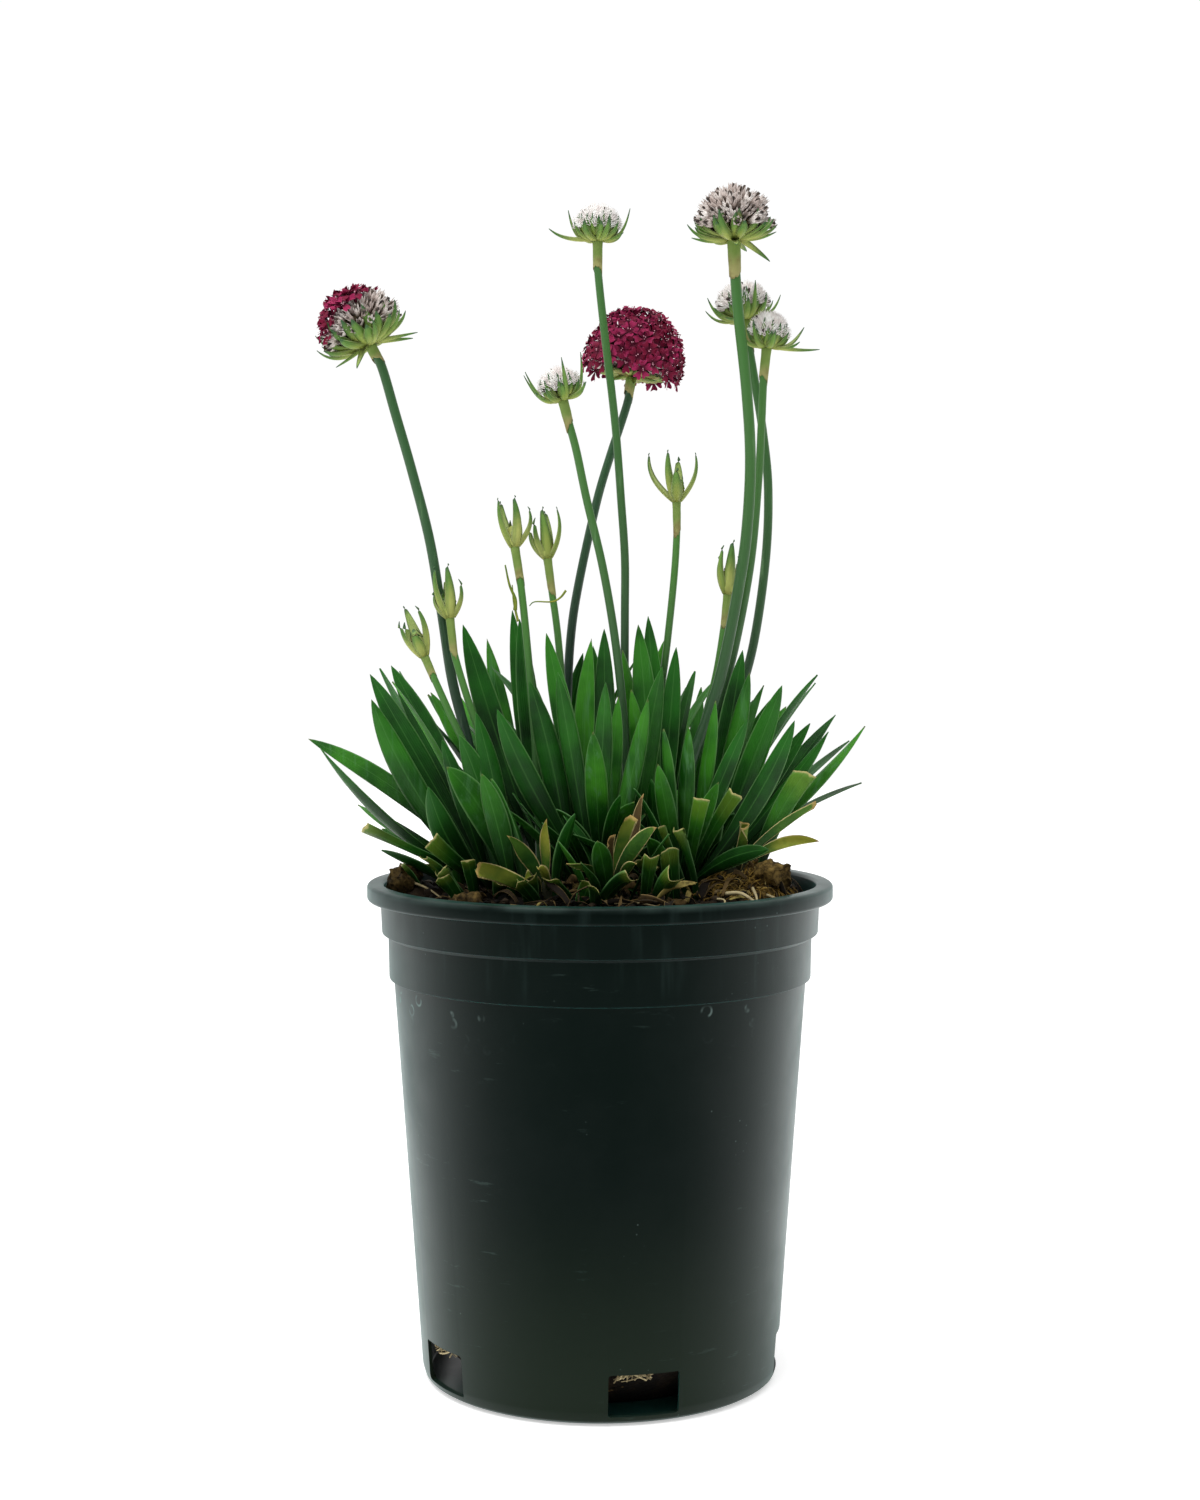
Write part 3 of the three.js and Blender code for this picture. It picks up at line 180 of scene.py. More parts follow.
def ink(red, green, blue):
    """A screen colour, 0 to 255, as the shader's own numbers."""
    shares = [value / 255 for value in (red, green, blue)]
    return tuple(s / 12.92 if s < 0.04045 else ((s + 0.055) / 1.055) ** 2.4 for s in shares) + (1.0,)


world = bpy.data.worlds.new("studio")
scene.world = world
sky = Finish("studio", world)
_, backward, upward = sky.split(sky.node("ShaderNodeTexCoord", output="Generated"))
behind = sky.step(backward, -0.35, 0.3)
overhead = sky.step(upward, 0.2, 0.9)
glow = sky.sum("MAXIMUM", behind, overhead)
light = sky.node("ShaderNodeBackground", inputs={"Color": (1, 1, 1, 1), "Strength": glow * 0.6 + 0.42})
sky.node("ShaderNodeOutputWorld", inputs={"Surface": light})


def soft_lamp(name, place, aim, size, power):
    """A square soft box that points at a place."""
    data = bpy.data.lights.new(name, "AREA")
    data.size = size
    data.energy = power
    lamp = bpy.data.objects.new(name, data)
    lamp.location = place
    lamp.rotation_euler = (Vector(aim) - Vector(place)).to_track_quat("-Z", "Y").to_euler()
    scene.collection.objects.link(lamp)


soft_lamp("top_box", (-0.25, -0.35, 1.25), (0, 0, 0.2), 0.8, 9)
soft_lamp("left_box", (-1.1, -0.7, 0.7), (0, 0, 0.25), 0.6, 1.7)

floor_reach = 3
floor_drop = 0.0004
floor_mesh = bpy.data.meshes.new("floor")
corners = [(x * floor_reach, y * floor_reach, -floor_drop) for x, y in ((-1, -1), (1, -1), (1, 1), (-1, 1))]
floor_mesh.from_pydata(corners, [], [(0, 1, 2, 3)])
floor = bpy.data.objects.new("floor", floor_mesh)
scene.collection.objects.link(floor)
white = (1, 1, 1, 1)
off_white = (0.9, 0.9, 0.9, 1)
pale = Finish("pale floor")
floor_glow = {"emission_color": white, "emission_strength": 0.46}
floor_mesh.materials.append(pale.surface(off_white, 0.9, specular_ior_level=0.1, **floor_glow))

# Pot
# A moulded nursery pot of thin black polypropylene, with a rolled rim over two
# stepped collars and five drain holes cut out of the foot of its wall.
# Dust, water rings and scuffs have dulled it.

rim_radius = 82.5
rim_top = 176
rim_inner = 76.5
rim_foot = 170
upper_collar_foot = 158.5
lower_collar_foot = 142.5
wall_top_radius = 73.1
wall_foot_radius = 63.5
wall_thickness = 1.2
base_thickness = 1.8
base_radius = 60.4
drain_holes = 5
drain_width = 24.5
drain_foot = 3
drain_top = 17.5
drain_corner = 1
first_drain_angle = -76.5


class Heap:
    """Shapes gathered into one mesh, with numbers kept at each point."""

    def __init__(self):
        self.points = []
        self.faces = []
        self.kept = {}
        self.count = 0

    def add(self, points, faces, **kept):
        points = np.asarray(points, float).reshape(-1, 3)
        self.points.append(points)
        self.faces += [tuple(corner + self.count for corner in face) for face in faces]
        for key, number in kept.items():
            self.kept.setdefault(key, []).append(np.broadcast_to(number, len(points)))
        self.count += len(points)

    def mesh(self, name):
        mesh = bpy.data.meshes.new(name)
        mesh.from_pydata((np.concatenate(self.points) / 1000).tolist(), [], self.faces)
        for key, numbers in self.kept.items():
            layer = mesh.attributes.new(key, "FLOAT", "POINT")
            layer.data.foreach_set("value", np.concatenate(numbers).astype(np.float32))
        return mesh


def face_outwards(mesh):
    shape = bmesh.new()
    shape.from_mesh(mesh)
    bmesh.ops.recalc_face_normals(shape, faces=shape.faces)
    shape.to_mesh(mesh)
    shape.free()


def finished(name, heap, finish, stands_for=(), crease=None, closed=True):
    """Puts the mesh of a heap in the scene as a piece of the object."""
    mesh = heap.mesh(name)
    if closed:
        face_outwards(mesh)
    mesh.shade_smooth()
    if crease:
        mesh.set_sharp_from_angle(angle=math.radians(crease))
    mesh.materials.append(finish)
    piece = bpy.data.objects.new(name, mesh)
    scene.collection.objects.link(piece)
    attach(piece, "root")
    if stands_for:
        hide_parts(*stands_for)
    return piece


def vector(x, y, z):
    return np.array([x, y, z], float)


def ray(spin):
    """The level direction at an angle round the upright axis."""
    return vector(math.cos(spin), math.sin(spin), 0)


def grid_faces(rows, columns, closed=True):
    """Faces between rows of points, which close round if closed."""
    faces = []
    for i in range(rows - 1):
        for j in range(columns if closed else columns - 1):
            k = (j + 1) % columns
            faces.append((i * columns + j, i * columns + k, (i + 1) * columns + k, (i + 1) * columns + j))
    return faces


def skin(rings, capped=True):
    """Points and faces of a body through rings of points."""
    rings = np.asarray(rings, float)
    rows, columns = rings.shape[:2]
    faces = grid_faces(rows, columns)
    if capped:
        faces.append(tuple(range(columns)))
        faces.append(tuple(range((rows - 1) * columns, rows * columns)))
    return rings.reshape(-1, 3), faces


def rounded(profile, radius):
    """A profile with each corner replaced by a small curve."""
    points = [np.array(profile[0], float)]
    for before, corner, after in zip(profile, profile[1:], profile[2:]):
        before, corner, after = (np.array(p, float) for p in (before, corner, after))
        into = before - corner
        out = after - corner
        start = corner + into * min(0.45, radius / np.linalg.norm(into))
        end = corner + out * min(0.45, radius / np.linalg.norm(out))
        points += [start, (start + end + corner * 2) / 4, end]
    points.append(np.array(profile[-1], float))
    return points


def turned(profile, sides):
    """Rings of a body turned round the upright axis."""
    spins = np.arange(sides) * 2 * math.pi / sides
    rings = []
    for radius, height in profile:
        radius = max(radius, 0.001)
        rings.append(np.stack([radius * np.cos(spins), radius * np.sin(spins), np.full(sides, height)], 1))
    return rings


pot_profile = [
    (0, 0),
    (base_radius - 4, 0),
    (base_radius, 0),
    (base_radius + 2.2, 1.3),
    (wall_foot_radius, 4.6),
    (wall_top_radius, lower_collar_foot - 0.4),
    (wall_top_radius + 1.7, lower_collar_foot),
    (wall_top_radius + 2, upper_collar_foot - 0.4),
    (wall_top_radius + 4.2, upper_collar_foot),
    (wall_top_radius + 4.7, rim_foot),
    (rim_radius - 0.7, rim_foot + 0.1),
    (rim_radius, rim_foot + 0.8),
    (rim_radius, rim_top - 0.9),
    (rim_radius - 0.8, rim_top - 0.1),
    (rim_inner + 0.8, rim_top),
    (rim_inner, rim_top - 0.8),
    (rim_inner, upper_collar_foot),
    (wall_top_radius + 0.8, upper_collar_foot - 2.3),
    (wall_top_radius + 0.5, lower_collar_foot + 0.2),
    (wall_top_radius - wall_thickness, lower_collar_foot - 2.3),
    (wall_foot_radius - wall_thickness, 6),
    (base_radius, base_thickness),
    (0, base_thickness),
]
rim_crease = 40
pot_sides = 192
pot_heap = Heap()
pot_heap.add(*skin(turned(rounded(pot_profile, 0.45), pot_sides)))

finish = Finish("pot plastic")
z = finish.split(finish.place())[2]
smudge = finish.cloud(22, 4, 0.6)
streak = finish.cloud(1, 3, 0.6, finish.stretched(160, 14))
speck = finish.step(finish.cells(340), 0.13, 0.05) * finish.step(finish.cloud(46, 2), 0.6, 0.7)
drop = finish.cells(150)
ring_marks = finish.step(drop, 0.2, 0.27) * (1 - finish.step(drop, 0.3, 0.38))
below_collar = 1 - finish.step(z, 0.139, 0.142)
band = finish.step(z, 0.131, 0.136) * below_collar
loose_band = finish.step(z, 0.12, 0.134) * below_collar
patch = finish.step(finish.cloud(19, 1), 0.46, 0.56)
open_ring = finish.step(finish.cloud(240, 1), 0.4, 0.56)
water = ring_marks * open_ring * (band * patch + loose_band * patch * 0.1)
collar_dust = finish.step(z, 0.14, 0.15) * finish.step(streak, 0.5, 0.75)
# The wall turns paler towards the foot, over its lower 90 mm.
paler_foot = 1 - finish.step(z, 0, 0.09)
scuff = finish.cloud(1, 4, 0.7, finish.stretched(60, 420))
scuffs = finish.step(scuff, 0.62, 0.7) * finish.step(finish.cloud(30, 2), 0.5, 0.62)
# The top of the rim is paler: partly dust and wear, partly a painted highlight along its top edge.
rim_wear_and_highlight = finish.step(z, 0.1735, 0.1755) * finish.step(finish.cloud(55, 3), 0.3, 0.65)
colour = finish.coats(
    finish.tint((1, 3, 2), (6, 9, 8), finish.step(smudge, 0.35, 0.7)),
    ((36, 48, 46), collar_dust * 0.3),
    ((26, 32, 24), paler_foot),
    ((120, 140, 136), water * 0.5 + speck * 0.2),
    ((60, 76, 72), scuffs * 0.3),
    ((84, 104, 98), rim_wear_and_highlight * 0.22),
)
roughness = 0.31 + finish.step(smudge, 0.3, 0.75) * 0.12 + water * 0.15
relief = finish.cloud(9, 2) * 0.8 + finish.cloud(900, 2) * 0.03
gloss = {"specular_ior_level": 0.36, "specular_tint": (0.08, 0.14, 0.12, 1)}
dust_sheen = {"sheen_weight": 0.1, "sheen_roughness": 0.4, "sheen_tint": (0.1, 0.85, 0.75, 1)}
pot_skin = finish.surface(colour, roughness, finish.bump(relief, 0.22, 1.2), **gloss, **dust_sheen)
pot = finished("nursery_pot", pot_heap, pot_skin, ("pot",), rim_crease)


def drain_cutter(angle):
    """The space that a drain hole takes out of the wall."""
    side = drain_width / 2 - drain_corner
    high = drain_top - drain_corner
    low = drain_foot + drain_corner
    outline = []
    corner_steps = 4
    for u, v, turn in ((side, high, 0), (-side, high, 90), (-side, low, 180), (side, low, 270)):
        for k in range(corner_steps + 1):
            spin = math.radians(turn + k * 90 / corner_steps)
            outline.append((u + drain_corner * math.cos(spin), v + drain_corner * math.sin(spin)))
    out = ray(math.radians(angle))
    sideways = ray(math.radians(angle + 90))
    rings = []
    for reach in (54, 70):
        rings.append([out * reach + sideways * a + vector(0, 0, h) for a, h in outline])
    return skin(rings)


cutter_heap = Heap()
drain_angles = [first_drain_angle + i * 360 / drain_holes for i in range(drain_holes)]
for angle in drain_angles:
    cutter_heap.add(*drain_cutter(angle))
cutter_mesh = cutter_heap.mesh("drain_cutter")
face_outwards(cutter_mesh)
cutter = bpy.data.objects.new("drain_cutter", cutter_mesh)
scene.collection.objects.link(cutter)
cut = pot.modifiers.new("drain_holes", "BOOLEAN")
cut.operation = "DIFFERENCE"
cut.solver = "EXACT"
cut.object = cutter
bpy.context.view_layer.update()
graph = bpy.context.evaluated_depsgraph_get()
cut_mesh = bpy.data.meshes.new_from_object(pot.evaluated_get(graph))
pot.modifiers.clear()
pot.data = cut_mesh
cut_mesh.set_sharp_from_angle(angle=math.radians(rim_crease))
bpy.data.objects.remove(cutter)

# Potting mix
# Peat and composted bark, one root-bound ball down to the pot's floor. Crumbs,
# bark chips and a matted mound of dead moss and fine roots lie on top.

gap = 0.4
soil_edge = 170
soil_rise = 4
root_ball_chamfer = 15
up = vector(0, 0, 1)


def smooth_step(value, low, high):
    share = np.clip((value - low) / (high - low), 0, 1)
    return share * share * (3 - 2 * share)


def mix(start, end, share):
    return start + (end - start) * share


def mound(x, y, centre, size):
    """A bump of height 1 with round shoulders."""
    return np.exp(-(((x - centre[0]) / size[0]) ** 2) - ((y - centre[1]) / size[1]) ** 2)


def soil_height(x, y):
    """Height of the surface of the mix at a place."""
    radius = np.hypot(x, y)
    dome = soil_rise * (1 - (radius / rim_inner) ** 2)
    shore = smooth_step(rim_inner - radius, 0, 14)
    right_mound = 11 * mound(x, y, (52, -14), (14, 15))
    left_mound = 4 * mound(x, y, (-66, -4), (10, 12))
    ripple = 0.7 * np.sin(x * 0.33 + 1) * np.cos(y * 0.29) + 0.5 * np.sin(x * 0.9 - y * 0.7)
    return soil_edge + dome + (right_mound + left_mound + ripple) * shore


def make_random(seed):
    """Repeatable random numbers between 0 and 1."""
    state = (seed * 7919 + 104729) & 0xFFFFFFFF

    def step():
        nonlocal state
        state = (state * 1664525 + 1013904223) & 0xFFFFFFFF
        return state / 4294967296

    step()
    step()
    return step


def spread(random, reach):
    return (random() * 2 - 1) * reach


def mossy(x, y):
    """How much of the moss mat lies at a place, from 0 to 1."""
    return mound(x, y, (54, -22), (15, 14))


def crumbled(points, size, depth, seed):
    """Points pushed about by a rough noise."""
    moved = []
    for point in points:
        spot = Vector(point) / size + Vector((seed * 7.3, seed * 3.1, seed))
        push = noise.turbulence_vector(spot, 3, False)
        moved.append(np.array(point) + np.array(push) * depth)
    return np.array(moved)


ball_profile = [
    (0, base_thickness + gap),
    (base_radius - root_ball_chamfer, base_thickness + gap),
    (wall_foot_radius - 1.1, drain_top + 0.5),
    (wall_top_radius - wall_thickness - gap, lower_collar_foot - 3),
    (wall_top_radius - wall_thickness - gap, lower_collar_foot - 1),
    (wall_top_radius + 0.5 - gap, lower_collar_foot + 1.5),
    (wall_top_radius + 0.5 - gap, upper_collar_foot - 0.6),
    (rim_inner - 0.5, upper_collar_foot + 2),
]
soil_spokes = 200
soil_rings = 92
soil_heap = Heap()
rings = turned(ball_profile, soil_spokes)
for i in range(soil_rings):
    radius = (rim_inner - 0.5) * (1 - i / (soil_rings - 1)) + 0.05
    ring = turned([(radius, soil_edge)], soil_spokes)[0]
    heights = soil_height(ring[:, 0], ring[:, 1])
    for k, (px, py, _) in enumerate(ring):
        rough = noise.fractal(Vector((px / 2.6, py / 2.6, 3)), 0.7, 2.1, 4)
        clods = abs(noise.noise(Vector((px / 7, py / 7, 9))))
        away = smooth_step(rim_inner - radius, 0, 4)
        heights[k] += (rough * 0.9 + clods * 2.2 - 0.6) * away
    ring[:, 2] = heights
    rings.append(ring)
points, faces = skin(rings)
tone = [0.5 + 0.5 * noise.noise(Vector(p) / 5) for p in points]
soil_heap.add(points, faces, tone=tone, moss=mossy(points[:, 0], points[:, 1]))


def ball(subdivisions):
    """Points and faces of a ball of radius 1."""
    shape = bmesh.new()
    bmesh.ops.create_icosphere(shape, subdivisions=subdivisions, radius=1)
    points = np.array([vertex.co[:] for vertex in shape.verts])
    faces = [tuple(vertex.index for vertex in face.verts) for face in shape.faces]
    shape.free()
    return points, faces


pebble_points, pebble_faces = ball(1)
clod_points, clod_faces = ball(4)
clods = [
    ((-69.5, -6, 176.5), (6, 7.5, 6)),
    ((60, -22, 180.5), (7, 6, 4.5)),
    ((-44, -42, 172), (6, 5, 4)),
    ((-52, 40, 172), (6, 6, 4)),
    ((56, 34, 172), (6.5, 5, 4)),
]
# Blender's noise of directions differs from run to run unless it has a seed
clod_seed = 15
noise.seed_set(clod_seed)
for index, (place, size) in enumerate(clods):
    points = crumbled(clod_points * np.array(size) * 0.95 + np.array(place), 4.5, 2.2, index + 1)
    points = crumbled(points, 1.3, 0.5, index + 9)
    tone = [0.62 + 0.5 * noise.noise(Vector(p) / 2.5) for p in points]
    soil_heap.add(points, clod_faces, tone=tone, moss=np.maximum(mossy(points[:, 0], points[:, 1]), 0.55))

finish = Finish("potting mix")
grain = finish.cloud(420, 5, 0.65)
fleck = finish.step(finish.cells(300), 0.22, 0.1) * finish.step(finish.cloud(90, 2), 0.5, 0.62)
matted = finish.step(finish.kept("moss") + finish.cloud(160, 3) * 0.35, 0.55, 0.95)
matting = finish.tint((50, 38, 16), (148, 122, 66), finish.step(grain, 0.3, 0.75))
colour = finish.coats(
    finish.tint((8, 6, 4), (44, 34, 22), finish.step(finish.kept("tone") * 0.5 + grain * 0.6, 0.42, 0.85)),
    ((120, 98, 62), fleck * 0.6),
    (matting, matted * 0.85),
)
soil_skin = finish.surface(colour, 0.95, finish.bump(grain, 0.9, 1.2), specular_ior_level=0.15)
finished("peat_root_ball", soil_heap, soil_skin, ("potting_mix",))

crumb_count = 900
crumb_crease = 50
crumb_heap = Heap()
random = make_random(41)
for i in range(crumb_count):
    radius = (rim_inner - 3) * math.sqrt(random())
    spin = random() * 2 * math.pi
    px = radius * math.cos(spin)
    py = radius * math.sin(spin)
    size = 0.5 + 1.7 * random() ** 2.2
    sizes = [size * mix(low, high, random()) for low, high in ((0.8, 1.7), (0.7, 1.2), (0.4, 0.8))]
    turn = random() * 2 * math.pi
    points = pebble_points * sizes
    points = points + np.array([[spread(random, 0.18) * size for _ in range(3)] for _ in points])
    turned_x = points[:, 0] * math.cos(turn) - points[:, 1] * math.sin(turn)
    turned_y = points[:, 0] * math.sin(turn) + points[:, 1] * math.cos(turn)
    points = np.stack([turned_x, turned_y, points[:, 2]], 1)
    points += vector(px, py, soil_height(px, py) + size * 0.3 + 0.5)
    crumb_heap.add(points, pebble_faces, tone=random())
finish = Finish("bark crumbs")
tone = finish.kept("tone")
grain = finish.cloud(700, 3)
colour = finish.coats(
    finish.tint((10, 8, 6), (46, 36, 24), finish.step(tone, 0.2, 0.85)),
    ((116, 98, 66), finish.step(tone, 0.95, 0.97)),
    ((20, 14, 9), finish.step(grain, 0.5, 0.75) * 0.6),
)
crumb_skin = finish.surface(colour, 0.9, finish.bump(grain, 0.6, 0.5), specular_ior_level=0.2)
finished("bark_crumbs", crumb_heap, crumb_skin, crease=crumb_crease)


def unit(value):
    return value / np.linalg.norm(value)


def across(tangent, facing):
    """The two directions across a route, the second one facing a given way."""
    face = unit(facing - tangent * np.dot(facing, tangent))
    return np.cross(tangent, face), face


class Route:
    """A line in space, followed from 0 to 1."""

    def tangent(self, share):
        low = max(share - 0.0001, 0)
        high = min(share + 0.0001, 1)
        return unit(self.point(high) - self.point(low))


class Arc(Route):
    """A bow from start to end, drawn towards a point beside it."""

    def __init__(self, start, control, end):
        self.corners = (start, control, end)

    def point(self, share):
        start, control, end = self.corners
        rest = 1 - share
        return start * rest * rest + control * 2 * rest * share + end * share * share


class Spline(Route):
    """A smooth line through points."""

    def __init__(self, points):
        self.points = points

    def point(self, share):
        points = self.points
        last = len(points) - 1
        place = last * share
        index = int(math.floor(place))
        weight = place - index
        if index >= last:
            index = last - 1
            weight = 1
        one = points[index]
        two = points[index + 1]
        before = points[index - 1] if index > 0 else points[0] * 2 - points[1]
        after = points[index + 2] if index + 2 <= last else points[last] * 2 - points[last - 1]
        leave = (two - before) * 0.5
        reach = (after - one) * 0.5
        second = (two - one) * 3 - leave * 2 - reach
        third = (one - two) * 2 + leave + reach
        return one + leave * weight + second * weight**2 + third * weight**3


class Line(Route):
    """A straight line."""

    def __init__(self, start, end):
        self.start = start
        self.end = end

    def point(self, share):
        return mix(self.start, self.end, share)

    def tangent(self, share):
        return unit(self.end - self.start)


to_viewer = vector(0, -1, 0.12)


def taper(thick, start, end):
    """A thickness that changes evenly along a route."""
    return lambda share: thick * mix(start, end, share)


def tube(route, radius_at, sides, steps, facing=to_viewer):
    """A round body along a route."""
    rings = []
    spins = np.arange(sides) * 2 * math.pi / sides
    for i in range(steps + 1):
        share = i / steps
        side, face = across(route.tangent(share), facing)
        radius = radius_at(share)
        ring = route.point(share) + radius * (np.outer(np.cos(spins), side) + np.outer(np.sin(spins), face))
        rings.append(ring)
    return skin(rings)


# Fibres of the moss mat, and pale roots
# Dead moss and fine roots that have matted over the mix on the right, and the
# root tips that show at the top of the drain holes. They grew there.

fibre_count = 520
fibre_heap = Heap()
random = make_random(77)
for i in range(fibre_count):
    px = 52 + spread(random, 1) * 20 * random() ** 0.6
    py = -20 + spread(random, 1) * 19 * random() ** 0.6
    if math.hypot(px, py) > rim_inner - 3:
        continue
    ground = soil_height(px, py)
    spin = random() * 2 * math.pi
    length = mix(2.5, 7, random())
    start = vector(px, py, ground + mix(-0.2, 1.2, random()))
    end = start + ray(spin) * length
    if math.hypot(end[0], end[1]) > rim_inner - 2:
        continue
    end[2] = soil_height(end[0], end[1]) + mix(0.2, 1.8, random())
    control = (start + end) / 2 + vector(spread(random, 1.5), spread(random, 1.5), mix(0.3, 2.2, random()))
    thick = mix(0.12, 0.34, random())
    points, faces = tube(Arc(start, control, end), taper(thick, 1, 0.5), 4, 5)
    fibre_heap.add(points, faces, tone=random())
finish = Finish("moss and dead fibres")
tone = finish.kept("tone")
colour = finish.tint((60, 44, 16), (146, 118, 54), tone)
colour = finish.tint(colour, (150, 132, 82), finish.step(tone, 0.93, 0.97))
finished("moss_mat", fibre_heap, finish.surface(colour, 0.9, specular_ior_level=0.15))

root_heap = Heap()
random = make_random(91)
# Roots on the mix: spots as across, back and height above it, thickness and tone
top_roots = [
    ([(43, -36, 2.5), (48, -40, 4), (54, -44, 2), (60, -42, 0.5)], 0.75, 0.9),
    ([(52, -36, 4.5), (53, -43, 3.2), (51, -50, 1)], 0.55, 0.8),
    ([(57, -34, 3), (61, -38, 3), (66, -35, 1.2)], 0.5, 0.7),
    ([(38, -40, 2), (42, -46, 2), (40, -54, 0.6)], 0.45, 0.75),
    ([(-66, -10, 3), (-60, -16, 2), (-55, -24, 1)], 0.5, 0.55),
    ([(5, -50, 1.2), (14, -56, 1.8), (24, -55, 1)], 0.4, 0.4),
]
for spots, thick, tone in top_roots:
    points = [vector(px, py, soil_height(px, py) + lift) for px, py, lift in spots]
    body, faces = tube(Spline(points), taper(thick, 1, 0.45), 6, 18)
    root_heap.add(body, faces, tone=tone)
drain_roots = 46
for angle in drain_angles:
    out = ray(math.radians(angle))
    sideways = ray(math.radians(angle + 90))
    for i in range(drain_roots):
        start = out * 60.5 + sideways * (spread(random, 6) - 3) + up * (drain_top + 1)
        end = out * mix(59, 62, random()) + sideways * (spread(random, 7) - 3)
        end += up * mix(13.8, 17.2, random())
        control = (start + end) / 2 + sideways * spread(random, 4)
        control += out * random() + up * spread(random, 1.5)
        thick = mix(0.18, 0.5, random())
        body, faces = tube(Arc(start, control, end), taper(thick, 1, 0.6), 5, 8)
        root_heap.add(body, faces, tone=mix(0.3, 1, random()))
finish = Finish("roots")
grain = finish.cloud(500, 3)
colour = finish.tint((74, 58, 34), (186, 172, 132), finish.kept("tone"))
colour = finish.tint(colour, (86, 70, 42), finish.step(grain, 0.5, 0.8) * 0.5)
root_skin = finish.surface(colour, 0.8, finish.bump(grain, 0.4, 0.3), specular_ior_level=0.2)
finished("pale_roots", root_heap, root_skin)

# Stalks
# The leafless stalks of the heads and buds, smooth and faintly ribbed, each
# from its foot in the mix up to the sheath below its head.

# Each plant as the front view shows it: foot on the mix, depth at foot and top,
# radius, the sheath's foot, the base of the head, spots of the stalk, and the tips
# of the bracts with their depth. A flower goes on with its cup's radius and height,
# the number of its bracts, and its dome's radius and height.
plant_fields = ("name", "root", "depth", "radius", "sheath_foot", "base", "stalk", "bracts")
plant_fields += ("bowl", "bract_count", "dome")
flower_rows = [
    ("a", (-29, -1), (-1, -5), 1.75, (-76, 356), (-80.5, 364.5),
     [(-43, 212), (-48, 230), (-52.5, 248), (-55.8, 270), (-60, 296), (-66, 320), (-72, 341)],
     [(-64.5, 369.5, -4), (-67, 367, 5), (-97, 364.5, 2), (-90, 358.5, -6), (-84, 357, -9),
      (-98, 371, -3)],
     (6, 3), 10, (15, 20.5)),
    ("b", (11, 14), (14, 6), 1.45, (-0.8, 390.5), (-0.8, 401),
     [(9.5, 215), (8.8, 240), (8.8, 270), (8.8, 290), (7.5, 310), (5.3, 338), (1.5, 370)],
     [(-18, 405.5, -2), (-11, 412, 3), (10.5, 412.5, 1), (4, 409, -9), (-5, 409, -9), (9, 404, -4)],
     (4.5, 2.4), 9, (8.8, 13)),
    ("c", (-8, 24), (24, 30), 1.6, (9.3, 343), (11, 353.5),
     [(-11.5, 215), (-11.6, 240), (-10.2, 264), (-7.2, 283), (-1.2, 310), (3.5, 326)],
     [(3, 352.5, -7), (20, 352.5, -6), (12, 351.5, -9)],
     (5.5, 3), 8, (18.6, 24)),
    ("d", (10, 2), (2, -6), 1.45, (-10.6, 336.5), (-13, 345.5),
     [(9.5, 215), (7.8, 240), (5, 264), (0.8, 288), (-4.7, 311), (-8.3, 328)],
     [(-27, 354.5, 0), (-23.5, 356, 5), (-14.5, 360.5, -8), (-7.5, 362.5, -2), (-4.5, 353, -3)],
     (4.5, 2.2), 9, (8.2, 12)),
    ("e", (27, -5), (-5, -6), 1.95, (47.4, 390), (46.9, 401),
     [(31, 212), (38.5, 235), (43.5, 252), (49, 280), (51.8, 300), (53, 325), (51.5, 350), (48.6, 376)],
     [(32, 402.5, 1), (61.8, 404.5, 0), (59, 395.5, -3), (56.5, 399, 6), (43.5, 412, -12.5),
      (38, 398.5, -8)],
     (6, 2.6), 9, (13.6, 18.5)),
    ("f", (38, 17), (17, 28), 1.6, (52.4, 364), (51, 373.5),
     [(41, 212), (48, 237), (54.3, 260), (58.5, 290), (59.3, 315), (57.3, 335), (54.5, 352)],
     [(40.5, 381.5, 0), (42, 373.5, -4), (63.3, 382.5, 2), (55, 387.5, -10.5), (47, 366.5, -5),
      (53.5, 391, -9)],
     (5.5, 2.5), 9, (10.4, 14)),
    ("g", (31, 14), (14, 4), 1.45, (57.4, 352.5), (58.6, 363.8),
     [(36, 212), (42, 237), (48, 260), (53.4, 290), (56, 320), (56.8, 336)],
     [(77.2, 363.5, -3), (74, 371.5, 0), (71, 366, -5), (52, 368.5, -3), (54, 373.5, -8)],
     (4.5, 2.2), 9, (7.6, 13)),
]
